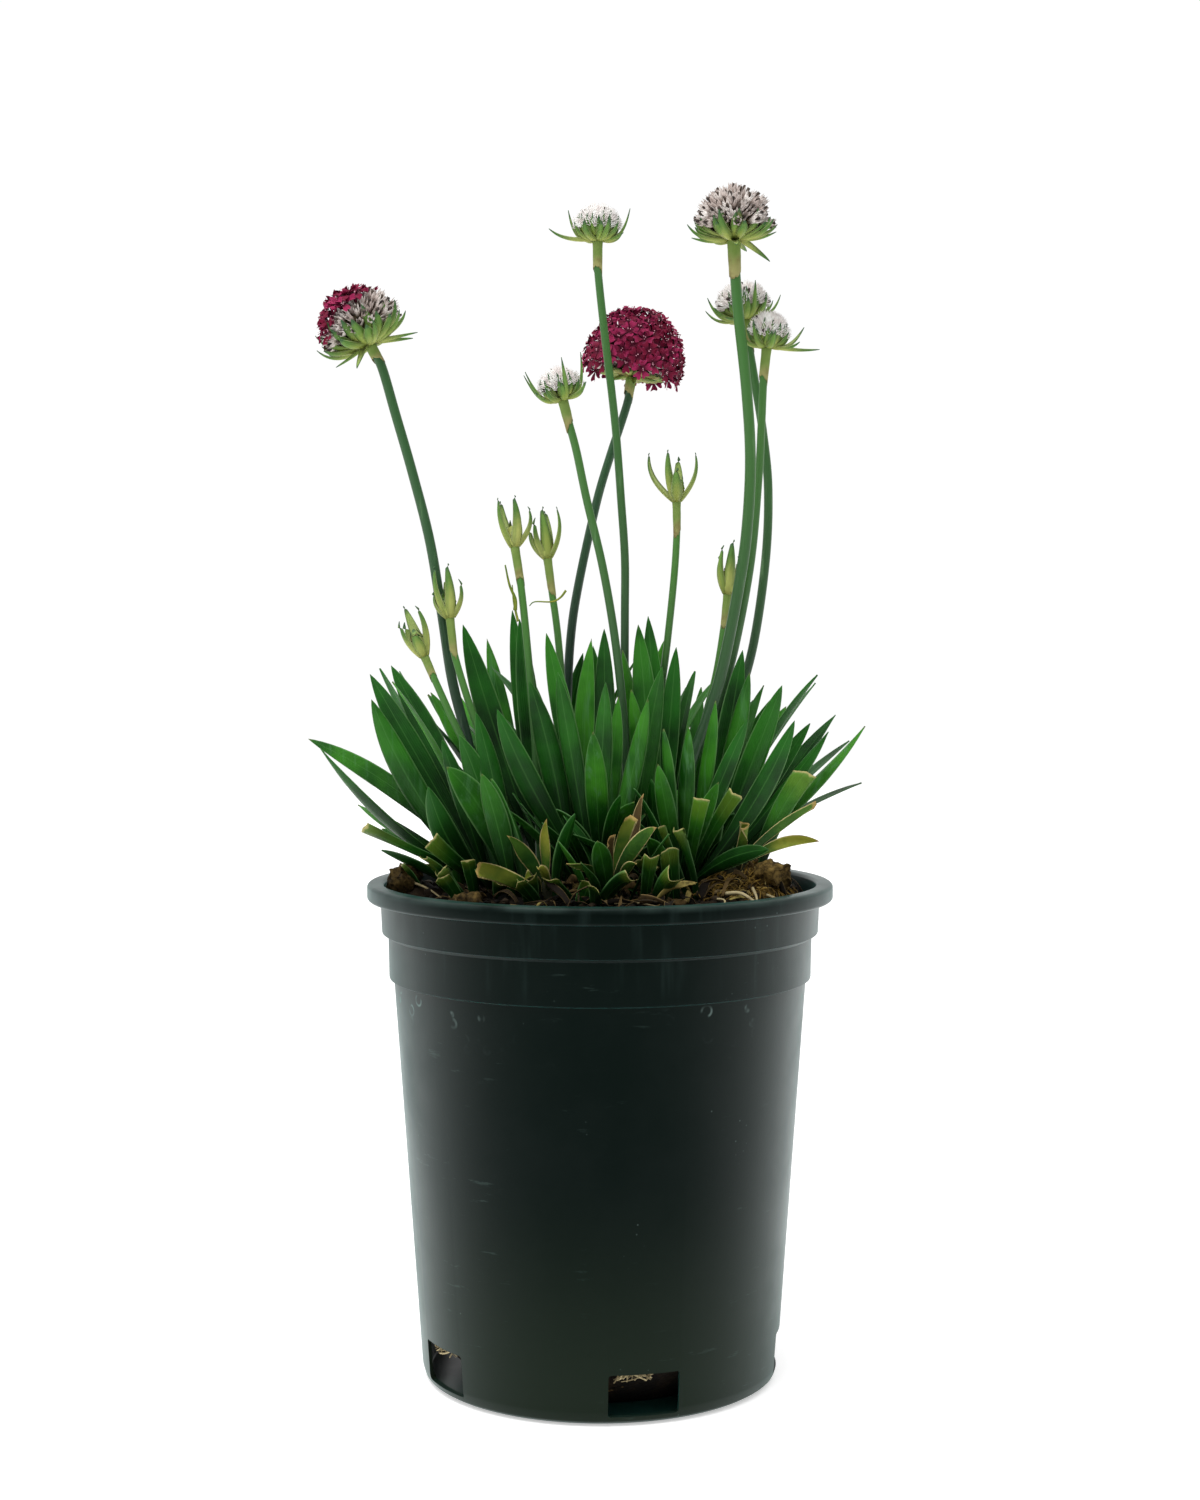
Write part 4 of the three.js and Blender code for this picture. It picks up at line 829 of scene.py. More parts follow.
bud_rows = [
    ("h1", (-21, -5), (-5, 6), 1.35, (-28, 281.5), (-30, 294),
     [(-23, 225), (-26, 262)],
     [(-36, 311.5, 0), (-29.5, 312.5, -3), (-25.5, 308.5, 0), (-32.5, 308, -4), (-31, 311, 4)]),
    ("h2", (-10, 8), (8, 12), 1.3, (-17, 278.5), (-18.5, 290),
     [(-12, 225), (-14.6, 260)],
     [(-23, 304.5, 0), (-20.5, 308.5, -2), (-19.5, 307, 4), (-15.5, 308.5, 0), (-17.5, 303, -4)]),
    ("h3", (18, 12), (12, 10), 1.3, (27.2, 299.5), (27, 310),
     [(19.5, 225), (23.5, 258), (26.2, 284)],
     [(17, 327.5, 0), (24, 328.5, -3), (27.5, 326, 4), (33.5, 327.5, 0), (24, 322, -6),
      (30.5, 318.5, -5)]),
    ("h4", (-33, -17), (-17, -12), 1.25, (-58.8, 248), (-62, 255.5),
     [(-43, 212), (-53, 235)],
     [(-71, 268, 0), (-69.5, 273.5, 3), (-65.5, 273.5, -2), (-67, 265, -3)]),
    ("h5", (-27, -13), (-13, -8), 1.3, (-51.6, 256), (-53, 269),
     [(-38, 215), (-46, 238)],
     [(-58.5, 287.5, 0), (-54, 288.5, -3), (-50, 283, 0), (-55.5, 284, 4), (-52.5, 280, -4)]),
    ("h6", (25, 7), (7, 4), 1.25, (44, 267.5), (45, 277.5),
     [(35, 225), (41, 249)],
     [(43.5, 295, 0), (46, 297, -2), (48.5, 291, 1), (45, 292, -3), (44.5, 293, 4)]),
]
flowers = [dict(zip(plant_fields, row)) for row in flower_rows]
buds = [dict(zip(plant_fields, row)) for row in bud_rows]
stalk_foot = 182
stalk_sink = 9
stalk_margin = 0.9


def seen(across_view, height, depth):
    """The place that the front view shows at (across, height), pushed back by depth."""
    scale = (eye_distance + depth) / eye_distance
    return vector(across_view * scale, depth, eye_height + (height - eye_height) * scale)


def spot_of(plant, reading, push=0):
    """The place of a spot of a plant, whose depth changes evenly from foot to head."""
    share = (reading[1] - stalk_foot) / (plant["base"][1] - stalk_foot)
    return seen(reading[0], reading[1], mix(plant["depth"][0], plant["depth"][1], share) + push)


def stalk_route(plant):
    px, py = plant["root"]
    ground = soil_height(px, py)
    points = [vector(px, py, ground - stalk_sink), vector(px, py, ground + 4)]
    points += [spot_of(plant, reading) for reading in plant["stalk"]]
    foot = spot_of(plant, plant["sheath_foot"])
    base = spot_of(plant, plant["base"])
    axis = unit(base - foot)
    points += [foot + axis * 1.5, base - axis * gap]
    return Spline(points)


def stalk_radius(plant):
    return taper(plant["radius"], 1.08, 0.94)


stalk_tones = {"a": 0.15, "c": 0.0, "e": 0.5, "b": 0.45, "d": 0.6, "f": 0.35, "g": 0.6}
bud_tone = 0.85
stalk_sides = 12
finish = Finish("stalk skin")
tone = finish.kept("tone")
streak = finish.cloud(1, 3, 0.5, finish.stretched(500, 40))
low_green = finish.tint((22, 44, 36), (40, 84, 32), tone)
high_green = finish.tint((32, 72, 38), (68, 122, 42), tone)
colour = finish.tint(low_green, high_green, finish.step(finish.kept("height") + streak * 0.12, 0.25, 0.9))
colour = finish.tint(colour, (120, 160, 110), finish.step(streak, 0.62, 0.8) * 0.25)
ribs = finish.bump(finish.cloud(1, 2, 0.5, finish.stretched(1400, 30)), 0.35, 0.4)
stalk_skin = finish.surface(colour, 0.42, ribs, specular_ior_level=0.4)
for plant in flowers + buds:
    heap = Heap()
    steps = 72 if plant in flowers else 40
    points, faces = tube(stalk_route(plant), stalk_radius(plant), stalk_sides, steps)
    heights = np.repeat(np.arange(steps + 1) / steps, stalk_sides)
    name = plant["name"]
    heap.add(points, faces, height=heights, tone=stalk_tones.get(name, bud_tone))
    finished(f"green_stalk_{name}", heap, stalk_skin, (f"stalk_{name}",))

# Leafy crowns
# Short woody stubs in the mix, each with its leaves grown from it: lance-shaped
# blades folded along the midrib, deep green with thin pale edges.

crown_radius = 5.2
crown_rise = 3.5
crown_sink = 9
heart_rise = 5
heart_radius = 3
leaf_steps = 3
blade_channel = 0.24
blade_margin = 1.3
golden_angle = math.pi * (3 - math.sqrt(5))

# Each leaf that the front view shows: across, height, depth of the tip, width,
# bow, turn, and whether it is cut. A crown is its name, place, leaves, the
# number of further leaves, and the sector that those fill.
crowns = [
    ("rosette_1", (-36, -6), [
        (-103.5, 226.5, -10, 7, 5, 0), (-99, 223, -26, 8, -6, 62), (-86, 203, -20, 8, 0, 58),
        (-84, 194.5, -34, 6, 0, 50, True), (-77.5, 194.5, 2, 6, 1, 40), (-82, 189, -26, 7, 1, 35),
        (-81.5, 249.5, 4, 9, 0, 10), (-81, 240.5, -16, 9, -4, 0), (-74, 252.5, 12, 9, 1, 0),
        (-78, 251.5, 24, 8, 2, 60), (-71, 250.5, 32, 8, 2, 58), (-61, 209.5, -36, 9, -6, 0),
        (-60, 190, -44, 7, -1, 10, True), (-48, 235, -16, 8, 0, 10), (-56, 226, -26, 7, 0, 20),
        (-53, 216, -38, 9.5, 1, 0),
    ], 4, (60, 200)),
    ("rosette_2", (-18, 6), [
        (-48.5, 267, 10, 9.5, -1, 0), (-31, 272, 18, 7.5, 0, 10), (-28.5, 269, 5, 8, 0, 0),
        (-25, 250.5, -3, 7.5, 0, 10), (-37, 249, -1, 8, 1, 55),
    ], 5, (20, 170)),
    ("rosette_3", (0, -10), [
        (-19, 264, -2, 8, 0, 0), (-15, 250, -17, 7.5, 0, 15), (-36.5, 237, -32, 8.5, -3, 0),
        (-2.5, 229, -42, 8, 0, 5), (2, 246.5, -24, 7, 0, 10), (1.5, 265.5, 10, 8, 0, 0),
        (6.5, 241.5, -14, 7, 0, 30), (17, 240.5, -20, 6.5, -1, 10), (9, 265, 3, 7.5, 0, 0),
    ], 2, (60, 120)),
    ("rosette_4", (21, 0), [
        (11, 244, -9, 7, 0, 20), (12, 272, 8, 8, -6, 10), (13.5, 267, -2, 9, 0, 0),
        (17, 270, 19, 8, 0, 0), (27, 259, 6, 7.5, 0, 10), (28, 255.5, -6, 7, 0, 20),
        (32, 255.5, -16, 8, 0, 0),
    ], 3, (40, 140)),
    ("rosette_5", (35, 4), [
        (34, 263, 12, 8, 0, 0), (36.5, 264, 22, 8, 0, 60), (50.5, 258, 6, 8.5, 0, 0),
        (53, 250, -7, 7.5, 0, 20), (58, 245.5, 15, 8, 1, 55), (64.5, 245.5, -14, 8.5, 0, 0),
        (66.5, 243, 4, 8, 1, 20), (74.5, 232, 6, 7, 0, 20), (83.5, 235, 14, 8, 0, 50),
        (94, 231, -3, 8, -3, 58), (81, 229, -12, 8, -1, 50),
    ], 3, (-30, 110)),
    ("rosette_6", (28, -16), [
        (20.5, 217.5, -42, 6.5, 0, 5), (22.5, 230, -32, 8, 0, 60), (31.5, 231, -36, 6, 0, 20),
        (41, 240, -24, 8, 0, 52), (52.5, 233.5, -28, 6, 0, 10), (69, 233, -30, 7.5, -4, 10),
        (75, 214.5, -26, 8, 0, 10, True), (71, 193.5, -32, 7, 3, 15, True),
        (60, 187, -50, 6.5, 3, 20), (42, 211, -42, 6, 1, 10), (36, 205, -50, 6, 1, 10, True),
        (48, 207, -46, 6, 1, 10, True),
    ], 1, (-60, -20)),
    ("rosette_7", (-24, 34), [
        (-6, 257, 30, 7.5, 1, 0), (-40, 262, 38, 7.5, 1, 20), (-60, 243, 40, 8, 2, 20),
    ], 10, (20, 260)),
    ("rosette_8", (8, 36), [
        (-2.5, 259.5, 28, 7, 0, 0), (1.5, 252.5, 20, 7, 0, 0), (23, 262, 34, 8, 1, 0),
    ], 10, (0, 180)),
    ("rosette_9", (36, 30), [
        (44, 256, 30, 8, 0, 0), (66, 238, 34, 7.5, 2, 20),
    ], 9, (-70, 160)),
    ("rosette_10", (-6, 16), [], 7, (20, 380)),
    ("rosette_11", (23, 22), [], 6, (0, 300)),
]
withered_crowns = [
    ("withered_leaves_1", (-18, -32), [
        (-33, 192, -44, 6, 2, 20), (-19, 198, -38, 5, 1, 40), (-44, 181, -50, 8, 1, 0, True),
        (-22, 180, -54, 4, 3, 20), (-27, 176, -50, 5, 3, 20),
    ], 0, (0, 0)),
    ("withered_leaves_2", (4, -34), [
        (-12, 182, -52, 4, 3, 20), (3, 191, -52, 5, 2, 0, True), (10, 199, -44, 7, 1, 0, True),
        (15.5, 207, -38, 5, 0, 20), (20, 195, -52, 6, 2, 20), (13, 182, -56, 4, 3, 20),
    ], 0, (0, 0)),
    ("withered_leaves_3", (47, -18), [
        (78, 190, -24, 5, 3, 30), (76.5, 202, -14, 5, 2, 30, True), (53, 196, -38, 6, 1, 10, True),
    ], 0, (0, 0)),
]


def leaf_width(share):
    """Share of a leaf's full width along it, broad past the middle and pointed."""
    if share < 0.6:
        return mix(0.28, 1, smooth_step(share, 0, 0.6))
    return 1 - ((share - 0.6) / 0.4) ** 2.3


def rotated(side, face, spin):
    """Two directions turned together about the route between them."""
    cos = math.cos(spin)
    sin = math.sin(spin)
    return side * cos + face * sin, face * cos - side * sin


class Leaf:
    """A blade from its foot to its tip, bowed off the straight line between them."""

    def __init__(self, foot, tip, width, bow, turn, facing=None, cut=False):
        chord = tip - foot
        reach = math.hypot(chord[0], chord[1])
        outward = vector(chord[0] / reach, chord[1] / reach, 0) if reach > 0.5 else vector(0, -1, 0)
        length = np.linalg.norm(chord)
        inner = outward * (-chord[2] / length) + up * (reach / length)
        self.route = Arc(foot, (foot + tip) * 0.5 + inner * bow * 2, tip)
        self.width = width
        self.turn = math.radians(turn)
        self.facing = inner if facing is None else facing
        self.cup = -1 if np.dot(self.facing, inner) < 0 else 1
        self.cut = cut

    def frame(self, share):
        side, face = rotated(*across(self.route.tangent(share), self.facing), self.turn)
        half = self.width / 2 * (mix(0.5, 0.95, share) if self.cut else leaf_width(share))
        return self.route.point(share), side, face, half

    def net(self, margin):
        """The middle surface as rows of three points, and the way each row faces."""
        rows = []
        faces = []
        for i in range(leaf_steps + 1):
            centre, side, face, half = self.frame(i / leaf_steps)
            wide = half + margin
            lift = self.cup * blade_channel * half
            rows.append([centre - side * wide + face * lift, centre, centre + side * wide + face * lift])
            faces.append(face)
        return np.array(rows), np.array(faces)


def net_of(grid):
    """Segments and triangles of a grid of points."""
    wide = np.stack([grid[:, :-1], grid[:, 1:]], 2).reshape(-1, 2, 3)
    long = np.stack([grid[:-1], grid[1:]], 2).reshape(-1, 2, 3)
    one = np.stack([grid[:-1, :-1], grid[1:, :-1], grid[:-1, 1:]], 2).reshape(-1, 3, 3)
    two = np.stack([grid[1:, 1:], grid[:-1, 1:], grid[1:, :-1]], 2).reshape(-1, 3, 3)
    return np.concatenate([wide, long]), np.concatenate([one, two])


def joined(nets):
    """The segments of several nets as one, and their triangles."""
    return np.concatenate([net[0] for net in nets]), np.concatenate([net[1] for net in nets])


def any_pierce(segments, triangles):
    """True if any of the segments goes through any of the triangles."""
    start = segments[:, None, 0]
    way = segments[:, None, 1] - start
    corner = triangles[None, :, 0]
    edge_one = triangles[None, :, 1] - corner
    edge_two = triangles[None, :, 2] - corner
    normal = np.cross(way, edge_two)
    size = np.sum(edge_one * normal, 2)
    flat = np.abs(size) < 1e-12
    size = np.where(flat, 1, size)
    offset = start - corner
    first = np.sum(offset * normal, 2) / size
    turned_offset = np.cross(offset, edge_one)
    second = np.sum(way * turned_offset, 2) / size
    along = np.sum(edge_two * turned_offset, 2) / size
    inside = (first >= 0) & (first <= 1) & (second >= 0) & (first + second <= 1)
    return bool(np.any(inside & (along >= 0) & (along <= 1) & ~flat))


class Body:
    """The room that a leaf or a rod takes up, for keeping others clear of it."""

    def __init__(self, crown, plain, outer, shells, outer_shells):
        self.crown = crown
        self.plain = plain
        self.outer = outer
        self.shells = shells
        self.outer_shells = outer_shells
        spots = shells[0].reshape(-1, 3)
        self.low = spots.min(0)
        self.high = spots.max(0)


def body_of_leaf(leaf, crown):
    """A leaf as one thin net and as three with a margin, each also without its foot."""
    rows, faces = leaf.net(0)
    wide, wide_faces = leaf.net(blade_margin)
    layers = [wide + wide_faces[:, None] * offset for offset in (-blade_margin, 0, blade_margin)]
    shells = joined([net_of(layer) for layer in layers])
    outer_shells = joined([net_of(layer[1:]) for layer in layers])
    return Body(crown, net_of(rows), net_of(rows[1:]), shells, outer_shells)


def body_of_rod(route, radius_at, steps, crown=None):
    """A round body as a net of six sides, a little wider than it is."""
    grid = []
    spins = np.arange(7) * math.pi / 3
    for i in range(steps + 1):
        share = i / steps
        side, face = across(route.tangent(share), to_viewer)
        radius = radius_at(share) + stalk_margin
        ring = route.point(share) + radius * (np.outer(np.cos(spins), side) + np.outer(np.sin(spins), face))
        grid.append(ring)
    net = net_of(np.array(grid))
    return Body(crown, net, net, net, net)


placed = []


def neighbours(body):
    """The bodies placed so far whose boxes meet this one's."""
    return [o for o in placed if np.all(o.high >= body.low) and np.all(o.low <= body.high)]


def is_clear(body):
    """True where a body keeps clear of all others. In one crown only feet may meet."""
    near = neighbours(body)
    for family in (True, False):
        nets = [o.outer if family else o.plain for o in near if (o.crown == body.crown) == family]
        if not nets:
            continue
        segments, triangles = joined(nets)
        own = body.outer_shells if family else body.shells
        if any_pierce(own[0], triangles) or any_pierce(segments, own[1]):
            return False
    return True


def above_soil(body, place):
    """True where a leaf lies over the mix and the rim, away from its crown's stub."""
    starts = body.plain[0][:, 0]
    spots = np.concatenate([starts, (starts + body.plain[0][:, 1]) / 2])
    away = np.hypot(spots[:, 0] - place[0], spots[:, 1] - place[1])
    radius = np.hypot(spots[:, 0], spots[:, 1])
    ground = np.where(radius < rim_inner, soil_height(spots[:, 0], spots[:, 1]), rim_top)
    near_rim = (radius > rim_inner - 2) & (radius < rim_radius + 1)
    lowest = np.where(near_rim, np.maximum(ground, rim_top), ground)
    low = (away >= crown_radius + 1) & (radius <= rim_radius + 1) & (spots[:, 2] <= lowest + 1.4)
    return not np.any(low)


def crown_top(place):
    return soil_height(place[0], place[1]) + crown_rise


def leaf_foot(place, tip, index):
    """The feet of a crown's leaves, spread over its top from the middle outwards."""
    away = vector(tip[0] - place[0], tip[1] - place[1], 0)
    length = np.linalg.norm(away)
    if length > 0.01:
        away *= min(1.6, length / 6) / length
    reach = min(2.6, 0.7 * math.sqrt(index + 1))
    spin = index * golden_angle
    return vector(
        place[0] + away[0] + reach * math.cos(spin),
        place[1] + away[1] + reach * math.sin(spin),
        crown_top(place) - 1.2 - 0.5 * (index % 4),
    )


front_tries = 15


def front_leaf(name, place, spec, index):
    """A leaf of the front view, pushed back or forward until it is clear."""
    u, v, depth, width, bow, turn = spec[:6]
    cut = len(spec) > 6
    for attempt in range(front_tries):
        push = (1 if attempt % 2 else -1) * math.ceil(attempt / 2) * 2
        tip = seen(u, v, depth + push)
        foot = leaf_foot(place, tip, index)
        head_on = np.dot(unit(tip - foot), to_viewer) > 0.85
        leaf = Leaf(foot, tip, width, bow + attempt * 0.15, turn, None if head_on else to_viewer, cut)
        body = body_of_leaf(leaf, name)
        if above_soil(body, place) and is_clear(body):
            return leaf, body
    return None


# Leaves that the front view doesn't single out: full grown ones of the sides and
# back, and short young ones in the heart of each crown
full_grown = {
    "tries": 30,
    "lean": (28, 78),
    "length": (62, 86),
    "width": (7, 9.5),
    "bow": (0, 9),
    "first_foot": 3,
    "seed": 5000,
}
young = {
    "tries": 40,
    "lean": (50, 86),
    "length": (30, 60),
    "width": (5.5, 8),
    "bow": (0, 5),
    "first_foot": 9,
    "seed": 9000,
}
young_leaves = 3


def own_leaf(name, place, kind, index, count, sector):
    """One of a number of such leaves over a sector, drawn again until it is clear."""
    for attempt in range(kind["tries"]):
        random = make_random(place[0] * 31 + place[1] * 17 + index * 101 + attempt * 977 + kind["seed"])
        spin = math.radians(mix(sector[0], sector[1], (index + 0.5) / count) + spread(random, 16))
        lean = math.radians(mix(*kind["lean"], random()))
        length = mix(*kind["length"], random())
        outward = ray(spin)
        tip = vector(place[0], place[1], crown_top(place)) + outward * math.cos(lean) * length
        tip[2] += math.sin(lean) * length
        width = mix(*kind["width"], random())
        bow = mix(*kind["bow"], random())
        turn = spread(random, 25)
        leaf = Leaf(leaf_foot(place, tip, index + kind["first_foot"]), tip, width, bow, turn)
        body = body_of_leaf(leaf, name)
        if above_soil(body, place) and is_clear(body):
            return leaf, body
    return None


def head_place(plant):
    """The upright of a head: its base, the way along its axis, and its sheath's length."""
    foot = spot_of(plant, plant["sheath_foot"])
    base = spot_of(plant, plant["base"])
    length = np.linalg.norm(base - foot)
    axis = (base - foot) / length
    side, face = across(axis, vector(0, 1, 0))
    return base, np.array([-side, face, axis]), length


bud_room = 3.4
bud_height = 16
for plant in flowers + buds:
    placed.append(body_of_rod(stalk_route(plant), stalk_radius(plant), 16))
every_crown = withered_crowns + crowns
for name, place, _, _, _ in every_crown:
    top = vector(place[0], place[1], crown_top(place))
    placed.append(body_of_rod(Line(top - up * 8, top), lambda share: crown_radius, 2, name))
for plant in buds:
    base, basis, length = head_place(plant)
    bud_line = Line(base - basis[2] * length, base + basis[2] * bud_height)
    placed.append(body_of_rod(bud_line, lambda share: bud_room, 3))
grown = {name: [] for name, _, _, _, _ in every_crown}


def keep(name, found):
    """Puts a leaf that has found room in its crown."""
    if found:
        leaf, body = found
        placed.append(body)
        grown[name].append(leaf)


for name, place, leaves, _, _ in every_crown:
    for index, spec in enumerate(leaves):
        keep(name, front_leaf(name, place, spec, index))
for name, place, _, count, sector in every_crown:
    for index in range(count):
        keep(name, own_leaf(name, place, full_grown, index, count, sector))
for name, place, _, _, _ in crowns:
    for index in range(young_leaves):
        keep(name, own_leaf(name, place, young, index, young_leaves, (0, 360)))


def add_blade(heap, leaf, rows, columns, random, thick=0.9, curl=0.0, twist=0.0):
    """A fine closed blade in the place of a leaf: both faces, thin at the edges."""
    shares = np.linspace(0, 1, rows + 1)
    shares = shares if leaf.cut else 1 - (1 - shares) ** 1.25
    wave = spread(random, math.pi)
    ripple = mix(0.1, 0.35, random())
    slant = spread(random, 1.6)
    jag = spread(random, math.pi)
    rings = []
    along = []
    side_share = np.concatenate([np.linspace(-1, 1, columns + 1), np.linspace(1, -1, columns + 1)[1:-1]])
    upper = np.concatenate([np.ones(columns + 1), -np.ones(columns - 1)])
    for share in shares:
        centre, side, face, half = leaf.frame(min(share, 0.9995))
        if not leaf.cut:
            half = leaf.width / 2 * (2 * half / leaf.width) ** (0.85 if share > 0.6 else 1)
        spin = twist * share**2
        side, face = rotated(side, face, spin)
        edge = np.abs(side_share)
        groove = leaf.cup * blade_channel * half * edge**1.5
        body = thick * mix(1.15, 0.6, share) * (0.16 + 0.84 * (1 - edge**2.2)) / 2
        if leaf.cut:
            body = body * (1 - 0.6 * share**5)
        sway = ripple * share * np.sin(share * 9 + wave) * side_share
        bend = curl * share**2.5 * (side_share**2) * half
        height = groove + body * upper + sway + bend
        tuck = 1 - abs(curl) * 0.25 * share**2
        ring = centre + np.outer(side_share * max(half, 0.06) * tuck, side) + np.outer(height, face)
        if leaf.cut:
            torn = slant * side_share + 0.4 * np.sin(side_share * 4 + jag)
            torn = torn + 0.2 * np.sin(side_share * 9 + wave)
            ring = ring + np.outer(torn * share**4, leaf.route.tangent(share))
        rings.append(ring)
        along.append(np.full(len(side_share), share))
    points, faces = skin(rings)
    heap.add(
        points,
        faces,
        along=np.concatenate(along),
        across=np.tile(side_share, rows + 1),
        tone=random(),
        cut=1.0 if leaf.cut else 0.0,
    )


def add_stub(heap, place, random):
    """The woody stub that the leaves of a crown grow from."""
    sides = 16
    steps = 10
    ground = soil_height(place[0], place[1])
    rings = []
    spins = np.arange(sides) * 2 * math.pi / sides
    full_height = crown_sink + crown_rise + heart_rise
    for i in range(steps + 1):
        share = i / steps
        radius = mix(crown_radius, heart_radius, share) * (0.75 if i == steps else 1)
        reach = radius * np.array([1 + spread(random, 0.06) for _ in spins])
        heights = np.full(sides, ground - crown_sink + full_height * share)
        ring = np.stack([reach * np.cos(spins), reach * np.sin(spins), heights], 1)
        rings.append(ring + vector(place[0], place[1], 0))
    points, faces = skin(rings)
    heap.add(points, faces, along=-1.0, across=0.0, tone=0.1, cut=0.0)


finish = Finish("leaf skin")
along = finish.kept("along")
tone = finish.kept("tone")
cut_leaf = finish.kept("cut")
edge = finish.kept_size("across")
patch = finish.cloud(60, 3)
fine = finish.cloud(900, 3)
streak = finish.cloud(1, 3, 0.6, finish.stretched(420, 26))
deep = finish.tint((2, 40, 2), (12, 74, 6), finish.step(tone, 0.1, 0.8))
bright = finish.tint((22, 92, 10), (66, 142, 30), finish.step(tone, 0.2, 1.0))
# Height of each point, for the painted shade low in the clump.
height = finish.split(finish.place())[2] + finish.cloud(22, 2) * 0.03
veins = finish.sum("SINE", finish.kept("across") * 34)
midrib = 1 - finish.step(edge, 0.02, 0.09)
colour = finish.coats(
    finish.tint(deep, bright, finish.step(patch + along * 0.3, 0.45, 0.9)),
    # Painted sheen: grey-green streaks on some leaves, where they would reflect the bright surroundings.
    ((84, 134, 88), finish.step(streak, 0.52, 0.72) * finish.step(tone, 0.3, 0.7) * 0.5),
    # Painted shade: near black green at the feet of the leaves, deep in the clump.
    ((2, 24, 4), (1 - finish.step(along, 0.05, 0.6)) * 0.8),
    # Painted shade: leaves darken low down in the clump, towards the mix.
    ((4, 32, 4), (1 - finish.step(height, 0.19, 0.245)) * 0.7),
    ((18, 66, 16), finish.step(veins, 0.2, 1) * 0.2),
    ((74, 132, 60), midrib * 0.3),
    # Pale margins: partly the blade's own pale edge, partly a painted highlight along it.
    ((120, 170, 104), finish.step(edge, 0.86, 0.98) * finish.step(along, 0.2, 0.6) * 0.55),
    ((86, 84, 40), finish.step(along, 0.975, 1.0) * finish.step(tone, 0.4, 0.6) * 0.7),
    ((206, 188, 132), cut_leaf * finish.step(along + fine * 0.02, 0.985, 1.01) * 0.85),
    ((120, 136, 44), cut_leaf * finish.step(along + patch * 0.4, 0.9, 1.15) * 0.32),
    ((26, 20, 10), 1 - finish.step(along, -0.9, -0.1)),
)
relief = finish.bump(veins * 0.5 + fine * 0.5 - midrib * 1.2, 0.3, 0.15)
leaf_skin = finish.surface(colour, 0.4 + patch * 0.14, relief, specular_ior_level=0.22)

for index, (name, place, _, _, _) in enumerate(crowns):
    heap = Heap()
    random = make_random(300 + index)
    add_stub(heap, place, random)
    for leaf in grown[name]:
        add_blade(heap, leaf, 20, 8, random)
    finished(f"leafy_crown_{index + 1}", heap, leaf_skin, (name,))

# Withered leaves
# Old crowns at the foot of the clump, their leaves dried to olive and tan and
# cut back with shears. The edges have browned and curled.

finish = Finish("dried leaf")
along = finish.kept("along")
tone = finish.kept("tone")
patch = finish.cloud(130, 4)
fine = finish.cloud(800, 3)
green = finish.tint((20, 66, 10), (48, 92, 20), finish.step(tone, 0.1, 0.5))
yellow = finish.tint((66, 104, 26), (156, 154, 54), finish.step(tone, 0.3, 0.6))
colour = finish.coats(
    finish.tint(green, yellow, finish.step(patch * 0.7 + along * 0.5, 0.45, 0.9)),
    ((70, 46, 30), finish.step(tone, 0.76, 0.86) * 0.9),
    # Painted shade: dark brown towards the foot of each dried leaf, low in the clump.
    ((30, 24, 12), (1 - finish.step(along, 0.05, 0.5)) * 0.9),
    ((206, 190, 132), finish.step(finish.kept_size("across") + fine * 0.12, 0.89, 1.0) * 0.85),
    ((166, 136, 82), finish.step(along + fine * 0.04, 0.96, 1.0) * 0.8),
)
dry_skin = finish.surface(colour, 0.72, finish.bump(fine + patch, 0.6, 0.4), specular_ior_level=0.25)
for index, (name, place, _, _, _) in enumerate(withered_crowns):
    heap = Heap()
    random = make_random(500 + index)
    add_stub(heap, place, random)
    for leaf in grown[name]:
        add_blade(heap, leaf, 16, 8, random, 0.55, mix(0.4, 1.5, random()), spread(random, 1.1))
    finished(f"dried_leaves_{index + 1}", heap, dry_skin, (name,))

# Low growth and litter
# Between the tall leaves stand short young ones and the stumps of cut ones, and
# under them old leaves have dried to brown scraps that cover the mix.


def fits(body, place):
    """True where a short leaf goes through no other leaf or stalk."""
    if not above_soil(body, place):
        return False
    near = neighbours(body)
    if not near:
        return True
    segments, triangles = joined([other.plain for other in near])
    return not (any_pierce(body.plain[0], triangles) or any_pierce(segments, body.plain[1]))


# How far the feet of low leaves go into the mix
sunk = 4
low_tries = 6


def low_leaf(place, random, lean, length, width, cut, sector):
    """A short leaf from near a crown's foot, or nothing where there is no room."""
    for attempt in range(low_tries):
        spin = math.radians(mix(sector[0], sector[1], random()))
        out = ray(spin)
        reach = crown_radius * mix(0.6, 1.3, random())
        foot_x = place[0] + out[0] * reach
        foot_y = place[1] + out[1] * reach
        foot = vector(foot_x, foot_y, soil_height(foot_x, foot_y) + mix(0.5, 3, random()))
        rise = math.radians(mix(lean[0], lean[1], random()))
        long = mix(length[0], length[1], random())
        tip = foot + out * math.cos(rise) * long + up * math.sin(rise) * long
        wide = mix(width[0], width[1], random())
        bow = mix(0, 0.12, random()) * long
        turn = spread(random, 35)
        body = body_of_leaf(Leaf(foot, tip, wide, bow, turn, None, cut), None)
        if (tip[0] < 28 or foot_y > -8) and fits(body, (foot_x, foot_y)):
            placed.append(body)
            return Leaf(foot - up * sunk, tip, wide, bow, turn, None, cut)
    return None


random = make_random(610)
low_heap = Heap()
low_leaves_each = 13
front_crowns = [crown for crown in crowns + withered_crowns[:2] if crown[1][1] < 12]
for _, place, _, _, _ in front_crowns:
    for i in range(low_leaves_each):
        leaf = low_leaf(place, random, (18, 78), (20, 46), (5.5, 8), False, (150, 390))
        if leaf:
            add_blade(low_heap, leaf, 14, 8, random, 0.8)
finished("young_low_leaves", low_heap, leaf_skin)

